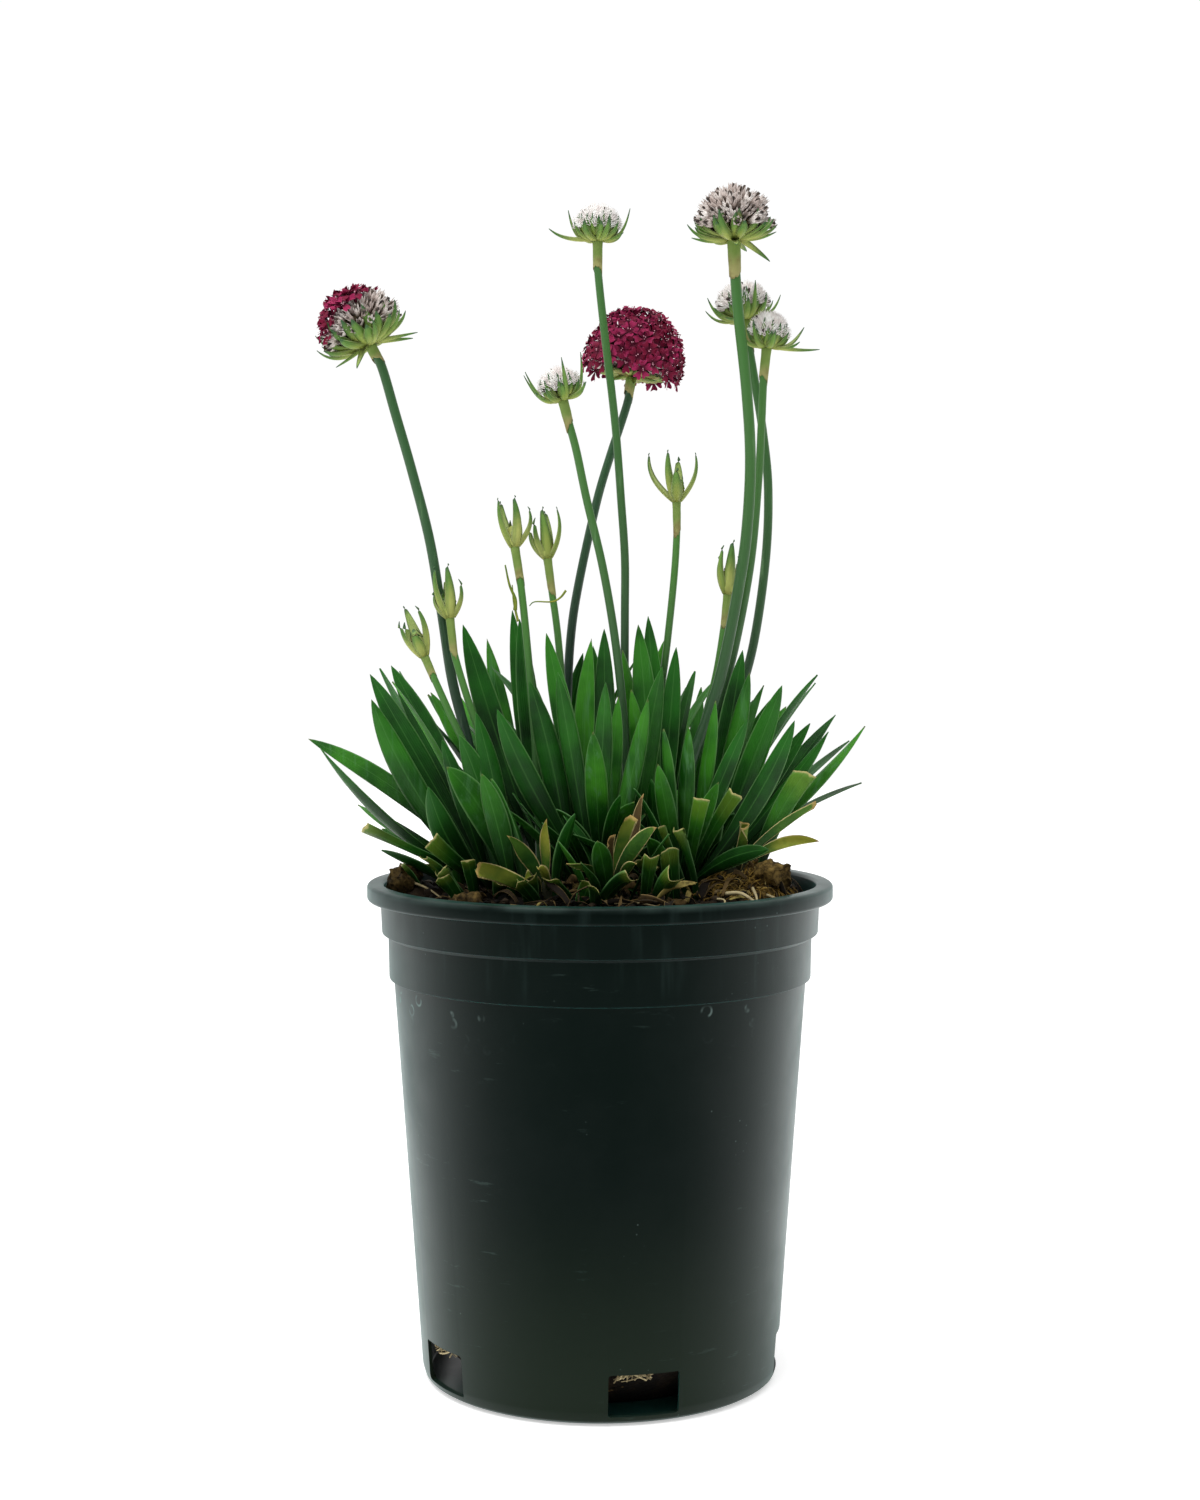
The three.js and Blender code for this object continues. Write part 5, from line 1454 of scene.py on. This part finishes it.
# Leaves of the front view that stand inside the clump: foot, tip as across, height
# and depth, then width, bow and turn. Each is moved a little until it has room.
inner_heap = Heap()
inner_tries = 60
inner_leaves_each = 7
inner_leaves = [
    ((-33, -26), (-54.4, 216.5, -44), 10.5, 5, -10),
    ((-36, -18), (-50, 228, -30), 9.5, 4, 14),
    ((-30, -20), (-44, 236, -26), 8, 2, -20),
    ((-28, -28), (-42, 214, -42), 8.5, 3, 20),
    ((-14, -12), (-25, 247, -18), 9, 3, 12),
    ((14, -6), (22, 252, -14), 8.5, 3, -14),
    ((-4, 4), (-3, 262, 4), 8, 3, 24),
    ((12, 6), (8, 258, 6), 8, 3, -24),
]
for (foot_x, foot_y), (u, v, depth), width, bow, turn in inner_leaves:
    for attempt in range(inner_tries):
        loose = 1 + attempt * 0.15
        px = foot_x + spread(random, loose)
        py = foot_y + spread(random, loose)
        foot = vector(px, py, soil_height(px, py) + 1)
        tip = seen(u, v, depth + spread(random, loose * 1.5))
        own_bow = bow + spread(random, loose * 0.4)
        own_turn = turn + spread(random, loose * 3)
        body = body_of_leaf(Leaf(foot, tip, width, own_bow, own_turn, to_viewer), None)
        if fits(body, (px, py)):
            placed.append(body)
            leaf = Leaf(foot - up * sunk, tip, width, own_bow, own_turn, to_viewer)
            add_blade(inner_heap, leaf, 20, 8, random)
            break
for _, place, _, _, _ in crowns:
    for i in range(inner_leaves_each):
        leaf = low_leaf(place, random, (48, 84), (44, 72), (6.5, 8.5), False, (0, 360))
        if leaf:
            add_blade(inner_heap, leaf, 18, 8, random, 0.85)
finished("inner_leaves", inner_heap, leaf_skin)

# Where cut leaves stand, and how many
stump_heap = Heap()
stump_places = [((-38, -20), 7), ((-22, -34), 5), ((-6, -40), 4), ((12, -38), 4), ((30, -26), 6)]
stump_places += [((-52, -4), 4), ((22, -26), 6), ((36, -16), 6)]
for place, number in stump_places:
    for i in range(number):
        spot = (place[0] + spread(random, 6), place[1] + spread(random, 4))
        leaf = low_leaf(spot, random, (20, 75), (11, 26), (5.5, 9), True, (170, 370))
        if leaf:
            add_blade(stump_heap, leaf, 12, 8, random, 0.7, spread(random, 0.8), spread(random, 0.4))
sheared_foot = vector(54, -10, soil_height(54, -10) - sunk)
sheared = Leaf(sheared_foot, seen(73, 214.5, -12), 9, 2, 0, to_viewer, True)
add_blade(stump_heap, sheared, 16, 8, random, 0.8, 0.3)
finished("cut_leaf_stumps", stump_heap, leaf_skin)

finish = Finish("dead leaf litter")
tone = finish.kept("tone")
fine = finish.cloud(500, 4)
colour = finish.coats(
    finish.tint((18, 13, 8), (88, 70, 40), finish.step(tone, 0.3, 1.0)),
    ((142, 130, 70), finish.step(tone, 0.95, 0.98) * 0.7),
    ((26, 18, 10), finish.step(fine, 0.5, 0.75) * 0.7),
    ((168, 142, 92), finish.step(finish.kept_size("across"), 0.8, 1.0) * 0.4),
)
litter_skin = finish.surface(colour, 0.85, finish.bump(fine, 0.7, 0.5), specular_ior_level=0.15)
litter_scraps = 120
litter_heap = Heap()
for i in range(litter_scraps):
    px = mix(-14, 26, random()) if i % 2 else mix(-52, 62, random())
    py = mix(-66, -14, random()) + 0.004 * (px - 5) ** 2
    if math.hypot(px, py) > rim_inner - 5:
        continue
    spin = random() * 2 * math.pi
    long = mix(4, 14, random())
    out = ray(spin)
    foot = vector(px, py, soil_height(px, py) + mix(0.4, 2.5, random()))
    tip = foot + out * long
    if math.hypot(tip[0], tip[1]) > rim_inner - 3:
        continue
    tip[2] = soil_height(tip[0], tip[1]) + mix(0.8, 9 if i % 2 else 3, random() ** 2)
    straw = random() < 0.35
    wide = mix(0.6, 1.2, random()) if straw else mix(1.8, 4.4, random())
    leaf = Leaf(foot, tip, wide, mix(0.3, 3.2, random()), spread(random, 50), None, True)
    add_blade(litter_heap, leaf, 9, 6, random, 0.35, spread(random, 0.9), spread(random, 2.2))
finished("dead_leaf_litter", litter_heap, litter_skin)

sliver_heap = Heap()
slivers = [
    ([(-33.5, 288), (-32, 281), (-30, 276), (-30, 272)], 0.75),
    ([(-25, 273.5), (-23, 275), (-17, 275), (-14, 276.5), (-12, 279)], 0.45),
    ([(-31, 281), (-30.5, 275), (-29, 268)], 0.5),
]
for readings, thick in slivers:
    points = [seen(across_view, level, 2) for across_view, level in readings]
    body, faces = tube(Spline(points), taper(thick, 0.35, 1), 6, 20)
    sliver_heap.add(body, faces, along=0.6, across=0.0, tone=0.6, cut=0.0)
finished("dried_slivers", sliver_heap, dry_skin)

# Bracts and sheaths under the heads
# A cup of green and papery bracts holds each head, the outer ones drawn out to
# long points. Below them a tan sheath hangs down over the top of the stalk.


def bract_tips(plant, count, reach, height, clear_height=math.inf, clear_reach=0, low_reach=0):
    """The tips of a head's bracts in its own frame, in order round the axis."""
    base, basis, _ = head_place(plant)
    tips = [basis @ (spot_of(plant, reading[:2], reading[2]) - base) for reading in plant["bracts"]]
    for tip in tips:
        radius = math.hypot(tip[0], tip[1])
        wanted = clear_reach if tip[2] > clear_height else low_reach
        tip[:2] *= max(1, wanted / radius)
    random = make_random(31 + ord(plant["name"][0]) + len(plant["name"]) * 7)
    full = 2 * math.pi
    slots = [None] * count
    for tip in tips:
        wanted = round(math.atan2(tip[1], tip[0]) % full / full * count) % count
        for step in (0, 1, -1, 2, -2):
            slot = (wanted + step) % count
            if slots[slot] is None:
                slots[slot] = tip
                break
    placed_tips = []
    for i, tip in enumerate(slots):
        spin = i / count * full
        if tip is None:
            far = reach + spread(random, 1)
            placed_tips.append(ray(spin) * far + up * (height + spread(random, 1.2)))
            continue
        off = (math.atan2(tip[1], tip[0]) - spin + 3 * math.pi) % full - math.pi
        allowed = 0.5 * math.pi / count
        turned_spin = spin + max(-allowed, min(allowed, off))
        placed_tips.append(ray(turned_spin) * math.hypot(tip[0], tip[1]) + up * tip[2])
    return placed_tips


def put(heap, points, faces, head, **kept):
    """Adds points of a head's own frame to a heap, in their place on the plant."""
    base, basis, _ = head
    heap.add(base + np.asarray(points) @ basis, faces, **kept)


def add_bract(heap, head, start, control, tip, width, random, blunt=0.0, age=0.0):
    """One bract: a pointed scale, cupped towards the head's axis."""
    route = Arc(start, control, tip)
    rings = []
    along = []
    rows = 14
    side_share = np.array([-1, -0.6, -0.25, 0, 0.25, 0.6, 1, 0.6, 0.25, 0, -0.25, -0.6])
    upper = np.array([0.2, 0.8, 1, 1, 1, 0.8, 0.2, -0.8, -1, -1, -1, -0.8])
    curl = spread(random, 0.5)
    for i in range(rows + 1):
        share = 1 - (1 - i / rows) ** 1.3
        tangent = route.tangent(min(share, 0.999))
        inward = vector(-start[0], -start[1], 6)
        side, face = across(tangent, inward)
        claw = mix(0.8, 1, smooth_step(share, 0, 0.2)) * (1 - share) ** 0.62
        scale = mix(0.7, 1, smooth_step(share, 0, 0.35)) * (1 - share**3.2) ** 0.8
        half = max(width / 2 * mix(claw, scale, blunt), 0.13)
        cup = mix(0.8, 0.35, blunt) * half * side_share**2
        sway = side * curl * share**2 * (1 - blunt)
        thin = mix(0.26, 0.12, share)
        middle = route.point(share) + sway
        rings.append(middle + np.outer(side_share * half, side) + np.outer(cup + upper * thin, face))
        along.append(np.full(len(upper), share))
    points, faces = skin(rings)
    put(
        heap,
        points,
        faces,
        head,
        along=np.concatenate(along),
        across=np.tile(side_share, rows + 1),
        inside=np.tile((upper + 1) / 2, rows + 1),
        tone=random(),
        age=age,
        sheath=0.0,
    )


def add_sheath(heap, head, radius, random, age, length):
    """The papery sheath round the top of a stalk, ragged at its lower end."""
    sides = 24
    spins = np.arange(sides) * 2 * math.pi / sides
    ragged = np.array([spread(random, 0.5) for _ in spins])
    tongue = spins[int(random() * sides)]
    ragged += 1.9 * np.cos(spins - tongue)
    pleat = np.array([spread(random, 0.03) for _ in spins])
    rings = []
    swell = mix(0.2, 0.5, random())
    levels = [
        (0.0, 0.25),
        (0.04, 0.4),
        (0.25, swell),
        (0.5, swell),
        (0.75, 0.2),
        (0.92, 0.2),
        (1.0, 0.16),
    ]
    along = []
    for share, wall in levels:
        wide = (radius + wall) * (1 + pleat)
        heights = 0.5 - share * (length + 0.5 - ragged * share**2)
        rings.append(np.stack([wide * np.cos(spins), wide * np.sin(spins), heights], 1))
        along.append(share)
    rings.append(rings[-1] * vector(0.95, 0.95, 1) + vector(0, 0, 0.1))
    rings.append(rings[-1] * vector(0.9, 0.9, 1) + vector(0, 0, 1.5))
    along += [1, 1]
    points, faces = skin(rings, capped=False)
    kept = {"along": np.repeat(along, sides), "across": 0.0, "inside": 0.0}
    put(heap, points, faces, head, tone=random(), age=age, sheath=1.0, **kept)


finish = Finish("bract")
along = finish.kept("along")
tone = finish.kept("tone")
age = finish.kept("age")
edge = finish.kept_size("across")
fine = finish.cloud(700, 3)
patch = finish.cloud(260, 3)
inner_share = finish.step(finish.kept("inside"), 0.55, 0.9)
base_green = finish.tint((166, 172, 92), (132, 148, 64), tone)
leaf_green = finish.tint((64, 104, 38), (98, 134, 56), tone)
inner_green = finish.tint((172, 188, 116), (128, 160, 80), finish.step(along, 0.5, 1.0))
brown = finish.tint((112, 88, 46), (146, 124, 78), fine)
sheath_green = finish.tint((88, 116, 42), (124, 146, 74), patch)
sheath_tan = finish.tint((146, 142, 88), (114, 100, 58), finish.step(patch, 0.4, 0.75))
sheath_colour = finish.coats(
    sheath_green,
    (sheath_tan, finish.step(along + patch * 0.5 + age * 0.4, 0.75, 1.35)),
    ((96, 68, 44), finish.step(along + fine * 0.1, 0.98, 1.05) * age * 0.4),
)
bract_foot = 1 - finish.step(along + patch * 0.2, 0.08, 0.36)
colour = finish.coats(
    finish.tint(base_green, leaf_green, finish.step(along + fine * 0.15, 0.3, 0.85)),
    (inner_green, inner_share),
    (brown, finish.step(patch * 0.6 + age * 0.5, 0.5, 0.85) * 0.8),
    ((52, 96, 38), finish.step(edge, 0.3, 0.6) * (1 - inner_share) * 0.35),
    ((178, 190, 130), finish.step(edge, 0.8, 1.0) * 0.6),
    ((40, 76, 50), finish.step(along + fine * 0.1, 0.86, 1.0) * 0.8),
    ((112, 98, 44), bract_foot * (0.15 + age * 0.7)),
    (sheath_colour, finish.kept("sheath")),
)
relief = finish.bump(finish.cloud(1, 3, 0.5, finish.stretched(1300, 160)), 0.45, 0.25)
bract_skin = finish.surface(colour, 0.58, relief, specular_ior_level=0.3)


def dome_of(flower):
    """Foot and rise of the florets over a head's cup, and their radius."""
    foot = flower["bowl"][1] + 0.5 + gap
    radius, height = flower["dome"]
    return foot, height - foot, radius


# For each head: how brown its bracts are, and the ranks of its inner bracts as
# number, height up the dome, and width
inner_bracts = {
    "a": (0.35, [(9, 0.1, 5.2), (10, 0.34, 5.4), (10, 0.5, 5.0)]),
    "b": (0.35, [(9, 0.3, 3.4), (10, 0.58, 3.4), (10, 0.72, 3.0)]),
    "c": (0.8, [(9, 0.0, 4.2), (9, 0.1, 4.4)]),
    "d": (0.3, [(9, 0.3, 3.2), (10, 0.58, 3.2), (9, 0.76, 3.0)]),
    "e": (0.55, [(9, 0.12, 4.6), (10, 0.3, 4.8), (9, 0.42, 4.4)]),
    "f": (0.35, [(9, 0.25, 3.4), (10, 0.5, 3.6), (9, 0.66, 3.2)]),
    "g": (0.3, [(9, 0.3, 3.2), (9, 0.55, 3.4), (9, 0.7, 3.0)]),
}


def add_involucre(flower):
    """The bracts under a head: an outer row, inner ranks up its dome, and the sheath."""
    heap = Heap()
    head = head_place(flower)
    name = flower["name"]
    cup_radius, cup_height = flower["bowl"]
    foot, rise, radius = dome_of(flower)
    full_flower = name == "c"
    shoulder = cup_radius + 4 if full_flower else radius * 1.07 + 1.6
    tip_height = cup_height - 1.5 if full_flower else foot + 2
    low_reach = 0 if full_flower else shoulder * 0.84 + 1
    tips = bract_tips(flower, flower["bract_count"], shoulder + 1, tip_height, foot, shoulder, low_reach)
    random = make_random(800 + ord(name))
    age, ranks = inner_bracts[name]
    for tip in tips:
        spin = math.atan2(tip[1], tip[0])
        reach = math.hypot(tip[0], tip[1])
        out = ray(spin)
        start = out * (flower["radius"] + 0.6) + up * 0.3
        high = tip[2] > foot
        bend = max(shoulder * 0.86, reach * 0.74) if high else reach * 0.62
        control = out * bend + up * (-0.9 if high else min(-0.6, tip[2] * 0.35 - 0.9))
        width = 5.4 if name == "e" and tip[2] > foot + 4 else mix(3.2, 3.9, random())
        add_bract(heap, head, start, control, tip, width, random, 0.05, age * random())
    for row, (count, level, width) in enumerate(ranks):
        for i in range(count):
            spin = (i + 0.5 * row + spread(random, 0.18)) / count * 2 * math.pi
            out = ray(spin)
            start = out * (flower["radius"] + 0.5) + up * (0.4 + row * 0.25)
            high = level * mix(0.8, 1.15, random())
            dome_radius = radius * math.sqrt(1 - min(high, 0.9) ** 2)
            wide = dome_radius * mix(0.98, 1.1, random()) + 0.5 - row * 0.35
            end_height = foot + rise * high
            if full_flower:
                wide = cup_radius + mix(2, 5, random())
                end_height = foot * mix(0.1, 0.7, random())
            end = out * wide + up * end_height
            control = out * max(radius * 0.92, wide * 0.8) + up * (end_height * 0.16 + row * 0.4 - 0.5)
            add_bract(heap, head, start, control, end, width, random, 0.75, age * mix(0.3, 1.3, random()))
    add_sheath(heap, head, flower["radius"], random, age, head[2] * (0.62 if name in "ac" else 1))
    finished(f"bract_cup_{name}", heap, bract_skin, (f"involucre_{name}",))


for flower in flowers:
    add_involucre(flower)

# Spent florets
# Under and between the petals each floret has a small papery funnel, pleated
# and toothed. It stays on when the flower is over and turns white, then grey.


def frame_about(direction):
    return across(direction, vector(0, 1, 0.01) if abs(direction[2]) > 0.9 else up)


def add_funnel(heap, head, start, direction, length, mouth, random, withered, fresh):
    """One papery funnel with five teeth, open at the top."""
    side, face = frame_about(direction)
    turn = random() * math.pi
    spins = np.arange(10) * math.pi / 5 + turn
    tooth = np.tile([1.0, 0.0], 5)
    tone = random()
    rings = []
    along = []
    teeth = mix(0.16, 0.34, fresh) * mix(0.7, 1.3, random())
    levels = [(0.0, 0.35, 0.0), (0.4, 0.6, 0.05), (0.78, 0.9, 0.16), (1.0, 1.0, 0.16), (0.72, 0.4, 0.0)]
    lean = vector(spread(random, 0.1), spread(random, 0.1), 0)
    for index, (level, wide, pleat) in enumerate(levels):
        tip = teeth if index == 3 else 0
        radius = mouth * wide * (1 + pleat * (tooth * 2 - 1)) * (1 - tip * tooth * 0.9)
        height = length * (level + tip * (tooth * 1.5 - 0.5))
        ring = start + np.outer(height, direction + lean * level)
        ring = ring + np.outer(np.cos(spins) * radius, side) + np.outer(np.sin(spins) * radius, face)
        rings.append(ring)
        along.append(level + tooth * tip)
    points, faces = skin(rings)
    kept = {"fresh": fresh, "rib": np.tile(tooth, len(levels))}
    put(heap, points, faces, head, along=np.concatenate(along), tone=tone, wither=0.0, **kept)
    if withered:
        wisp = mix(0.5, 1.5, random())
        wisp_tip = start + direction * (length + wisp)
        wisp_tip = wisp_tip + side * spread(random, 0.4) + face * spread(random, 0.4)
        middle = start + direction * length + side * spread(random, 0.2)
        thick = mix(0.4, 0.72, random())
        route = Arc(start + direction * length * 0.6, middle, wisp_tip)
        body, faces = tube(route, lambda share: thick * (1 - 0.5 * abs(share - 0.8)), 6, 5, face)
        put(heap, body, faces, head, along=0.9, tone=random(), wither=1.0, fresh=0.0, rib=0.0)


finish = Finish("papery floret")
tone = finish.kept("tone")
fresh = finish.kept("fresh")
fine = finish.cloud(900, 3)
foot_colour = finish.tint((96, 90, 56), (104, 78, 66), tone)
old_paper = finish.tint((226, 218, 212), (172, 156, 148), tone)
new_paper = finish.tint((250, 250, 246), (226, 216, 212), tone)
mouth_colour = finish.tint(old_paper, new_paper, fresh)
wisp_colour = finish.tint((40, 34, 32), (92, 80, 70), finish.step(fine, 0.35, 0.7))
mottle = finish.step(finish.cloud(420, 3), 0.54, 0.68) * (1 - fresh * 0.75)
colour = finish.coats(
    finish.tint(foot_colour, mouth_colour, finish.step(finish.kept("along") + fine * 0.15, 0.5, 0.92)),
    ((92, 78, 68), finish.step(finish.kept("rib"), 0.75, 1.0) * (1 - fresh) * 0.4),
    ((108, 88, 80), mottle * 0.65),
    (wisp_colour, finish.kept("wither")),
)
funnel_skin = finish.surface(colour, 0.7, finish.bump(fine, 0.3, 0.2), specular_ior_level=0.25)

# For each head: how many funnels it has, how far down they go, the width of
# their mouths, the share with a withered floret in them, and how fresh they are
spent_heads = {
    "a": (112, 0.02, 2.5, 0.9, 0.05),
    "b": (170, 0.12, 1.6, 0.02, 1.0),
    "c": (44, -0.3, 2.6, 0.3, 0.3),
    "d": (140, 0.12, 1.5, 0.02, 1.0),
    "e": (92, 0.06, 3.0, 0.9, 0.1),
    "f": (170, 0.1, 1.7, 0.12, 0.85),
    "g": (140, 0.1, 1.6, 0.04, 1.0),
}


def dome_spot(index, count, low, foot, rise, radius, random, rough=0.045):
    """Where the index-th floret of a round head ends."""
    level = mix(0.985, low, (index + 0.5) / count)
    spin = index * golden_angle
    flat = math.sqrt(1 - level * level)
    stretch = 1 + spread(random, rough)
    return (ray(spin) * (radius * flat) + up * (level * rise)) * stretch + up * (foot + rise * 0.06)


def in_flower(flower, spot):
    """True where a head still has its petals on."""
    if flower["name"] == "c":
        return spot[2] > 1
    return flower["name"] == "a" and spot[2] * 0.934 - spot[0] * 0.356 > 13.8


def add_core(heap, head, foot, rise, radius):
    """The green receptacle in the middle of a head."""
    profile = [(0, foot - 1.2), (radius * 0.35, foot - 0.8), (radius * 0.55, foot + rise * 0.12)]
    profile += [(radius * 0.5, foot + rise * 0.45), (0, foot + rise * 0.58)]
    points, faces = skin(turned(rounded(profile, 1), 20))
    put(heap, points, faces, head, along=0.1, tone=0.3, wither=0.0, fresh=0.5, rib=0.0)


for flower in flowers:
    heap = Heap()
    head = head_place(flower)
    foot, rise, radius = dome_of(flower)
    name = flower["name"]
    count, low, mouth, withered, fresh = spent_heads[name]
    random = make_random(900 + ord(name))
    add_core(heap, head, foot, rise, radius)
    for index in range(count):
        width = radius * mix(0.93, 0.88, fresh)
        height = rise * mix(0.93, 0.86, fresh)
        end = dome_spot(index, count, low, foot, height, width, random, mix(0.09, 0.02, fresh))
        if name == "c":
            spin = index * golden_angle
            reach = radius * mix(0.35, 0.8, index / count)
            end = ray(spin) * reach + up * (foot + mix(-1.2, 1.5, random()))
        elif in_flower(flower, end):
            end = up * foot + (end - up * foot) * 0.82
        root = up * (foot + rise * 0.1)
        start = root + (end - root) * 0.42
        reach = np.linalg.norm(end - start)
        direction = (end - start) / reach
        hidden = in_flower(flower, end)
        dry = random() < withered and not hidden
        own_mouth = mouth / 2 * mix(0.85, 1.15, random())
        add_funnel(heap, head, start, direction, reach, own_mouth, random, dry, fresh)
    stands_for = () if name == "c" else (f"bloom_{name}",)
    finished(f"papery_funnels_{name}", heap, funnel_skin, stands_for)

# Open florets
# Five notched magenta petals round a narrow pale throat, each floret on its own
# short tube. The head at the back is full of them, the left one keeps a few.


def add_floret(heap, head, throat, direction, size, narrow, random):
    """One open floret: five petals and the pale specks in its throat."""
    side, face = frame_about(direction)
    turn = random() * 2 * math.pi
    tone = random()
    rows = 6
    columns = 7
    for petal in range(5):
        spin = turn + petal * 2 * math.pi / 5 + spread(random, 0.1)
        out = side * math.cos(spin) + face * math.sin(spin)
        sideways = np.cross(direction, out)
        droop = mix(0.15, 0.6, random())
        wave = random() * 6
        long = mix(0.85, 1.12, random())
        points = []
        along = []
        for i in range(rows):
            share = i / (rows - 1)
            blunt = math.sqrt(1 - 0.6 * max((share - 0.65) / 0.35, 0) ** 2)
            half = size * narrow * share**0.75 * blunt + 0.08
            for j in range(columns):
                wide = (j / (columns - 1)) * 2 - 1
                notch = 0.15 * (1 - abs(wide)) * share**4
                reach = size * long * (0.08 + 0.92 * share - notch)
                frill = 0.07 * math.sin(wide * 4 + wave) * share**2
                lift = size * (0.55 * share - droop * share**2 + 0.16 * wide**2 * share + frill)
                points.append(throat + out * reach + sideways * wide * half + direction * lift)
                along.append(share)
        put(heap, points, grid_faces(rows, columns, closed=False), head, along=along, tone=tone, speck=0.0)
    for i in range(3):
        spin = random() * 2 * math.pi
        out = side * math.cos(spin) + face * math.sin(spin)
        centre = throat + out * 0.45 + direction * mix(0.5, 1.5, random())
        points = pebble_points * 0.22 + centre
        put(heap, points, pebble_faces, head, along=0.0, tone=tone, speck=1.0)
    bottom = throat - direction * size * 1.1
    body, faces = tube(Line(bottom, throat + direction * 0.2), taper(1, 0.4, 0.75), 6, 2, side)
    put(heap, body, faces, head, along=0.2, tone=tone, speck=0.0)


finish = Finish("magenta petal")
along = finish.kept("along")
patch = finish.cloud(350, 3)
petal_share = finish.step(finish.kept("tone") * 0.6 + patch * 0.5, 0.35, 0.85)
colour = finish.coats(
    finish.tint((108, 12, 44), (150, 34, 80), petal_share),
    ((74, 10, 34), 1 - finish.step(along, 0.1, 0.7)),
    ((190, 96, 140), finish.step(along, 0.86, 1.0) * 0.2),
    ((230, 170, 186), finish.kept("speck") * 0.8),
)
petal_skin = finish.surface(colour, 0.6, finish.bump(patch, 0.3, 0.3), specular_ior_level=0.12)

# For each head in flower: florets over the whole dome, how far down they go,
# and the length and half width of a petal
open_heads = {"c": (124, -0.3, 3.7, 0.46), "a": (58, -0.1, 5.2, 0.3)}
for flower in flowers:
    name = flower["name"]
    if name not in open_heads:
        continue
    heap = Heap()
    head = head_place(flower)
    foot, rise, radius = dome_of(flower)
    count, low, size, narrow = open_heads[name]
    random = make_random(1000 + ord(name))
    if name == "c":
        profile = [(0, foot - 0.5), (radius * 0.6, foot)]
        profile += [(radius * 0.78, foot + rise * 0.35), (0, foot + rise * 0.8)]
        points, faces = skin(turned(rounded(profile, 4), 24))
        put(heap, points, faces, head, along=0.0, tone=0.2, speck=0.0)
    for index in range(count):
        end = dome_spot(index, count, low, foot, rise, radius * 0.95, random)
        if not in_flower(flower, end):
            continue
        direction = unit(end - up * (foot + rise * 0.1))
        add_floret(heap, head, end - direction * size * 0.25, direction, size, narrow, random)
    stands_for = (f"bloom_{name}",) if name == "c" else ()
    finished(f"open_florets_{name}", heap, petal_skin, stands_for, closed=False)

# Buds
# Young heads still shut in their long narrow bracts, which part at the top
# round a brownish green tuft. Each has its own sheath on the stalk.

outer_bud_bracts = 5
inner_bud_bracts = 9
bud_reach = 3
bud_tip_height = 15
for bud in buds:
    heap = Heap()
    head = head_place(bud)
    random = make_random(1200 + int(bud["name"][1]))
    tips = bract_tips(bud, outer_bud_bracts, bud_reach, bud_tip_height)
    for tip in tips:
        spin = math.atan2(tip[1], tip[0])
        out = ray(spin)
        start = out * (bud["radius"] + 0.3) + up * 0.2
        control = out * (math.hypot(tip[0], tip[1]) + 3.0) + up * tip[2] * 0.5
        add_bract(heap, head, start, control, tip, 5.0, random, 0.3, 0.25 * random())
    for i in range(inner_bud_bracts):
        spin = i * golden_angle
        out = ray(spin)
        start = out * 1.2 + up * 0.6
        tip = out * mix(0.6, 2.4, random()) + up * mix(6, 11, random())
        control = out * 3.6 + up * 4
        add_bract(heap, head, start, control, tip, 3.0, random, 0.4, mix(0.2, 1.1, random()))
    profile = [(0, -0.2), (bud["radius"] + 0.3, 0), (2.6, 2.6), (2.6, 5), (1.4, 7.4), (0, 8)]
    points, faces = skin(turned(rounded(profile, 1), 16))
    kept = {"along": 0.3, "across": 0.0, "inside": 0.0, "tone": 0.4, "sheath": 0.0}
    put(heap, points, faces, head, age=0.6 * random(), **kept)
    add_sheath(heap, head, bud["radius"] - 0.1, random, 0.2, head[2])
    name = bud["name"]
    finished(f"bud_bracts_{name}", heap, bract_skin, (f"bud_{name}",))
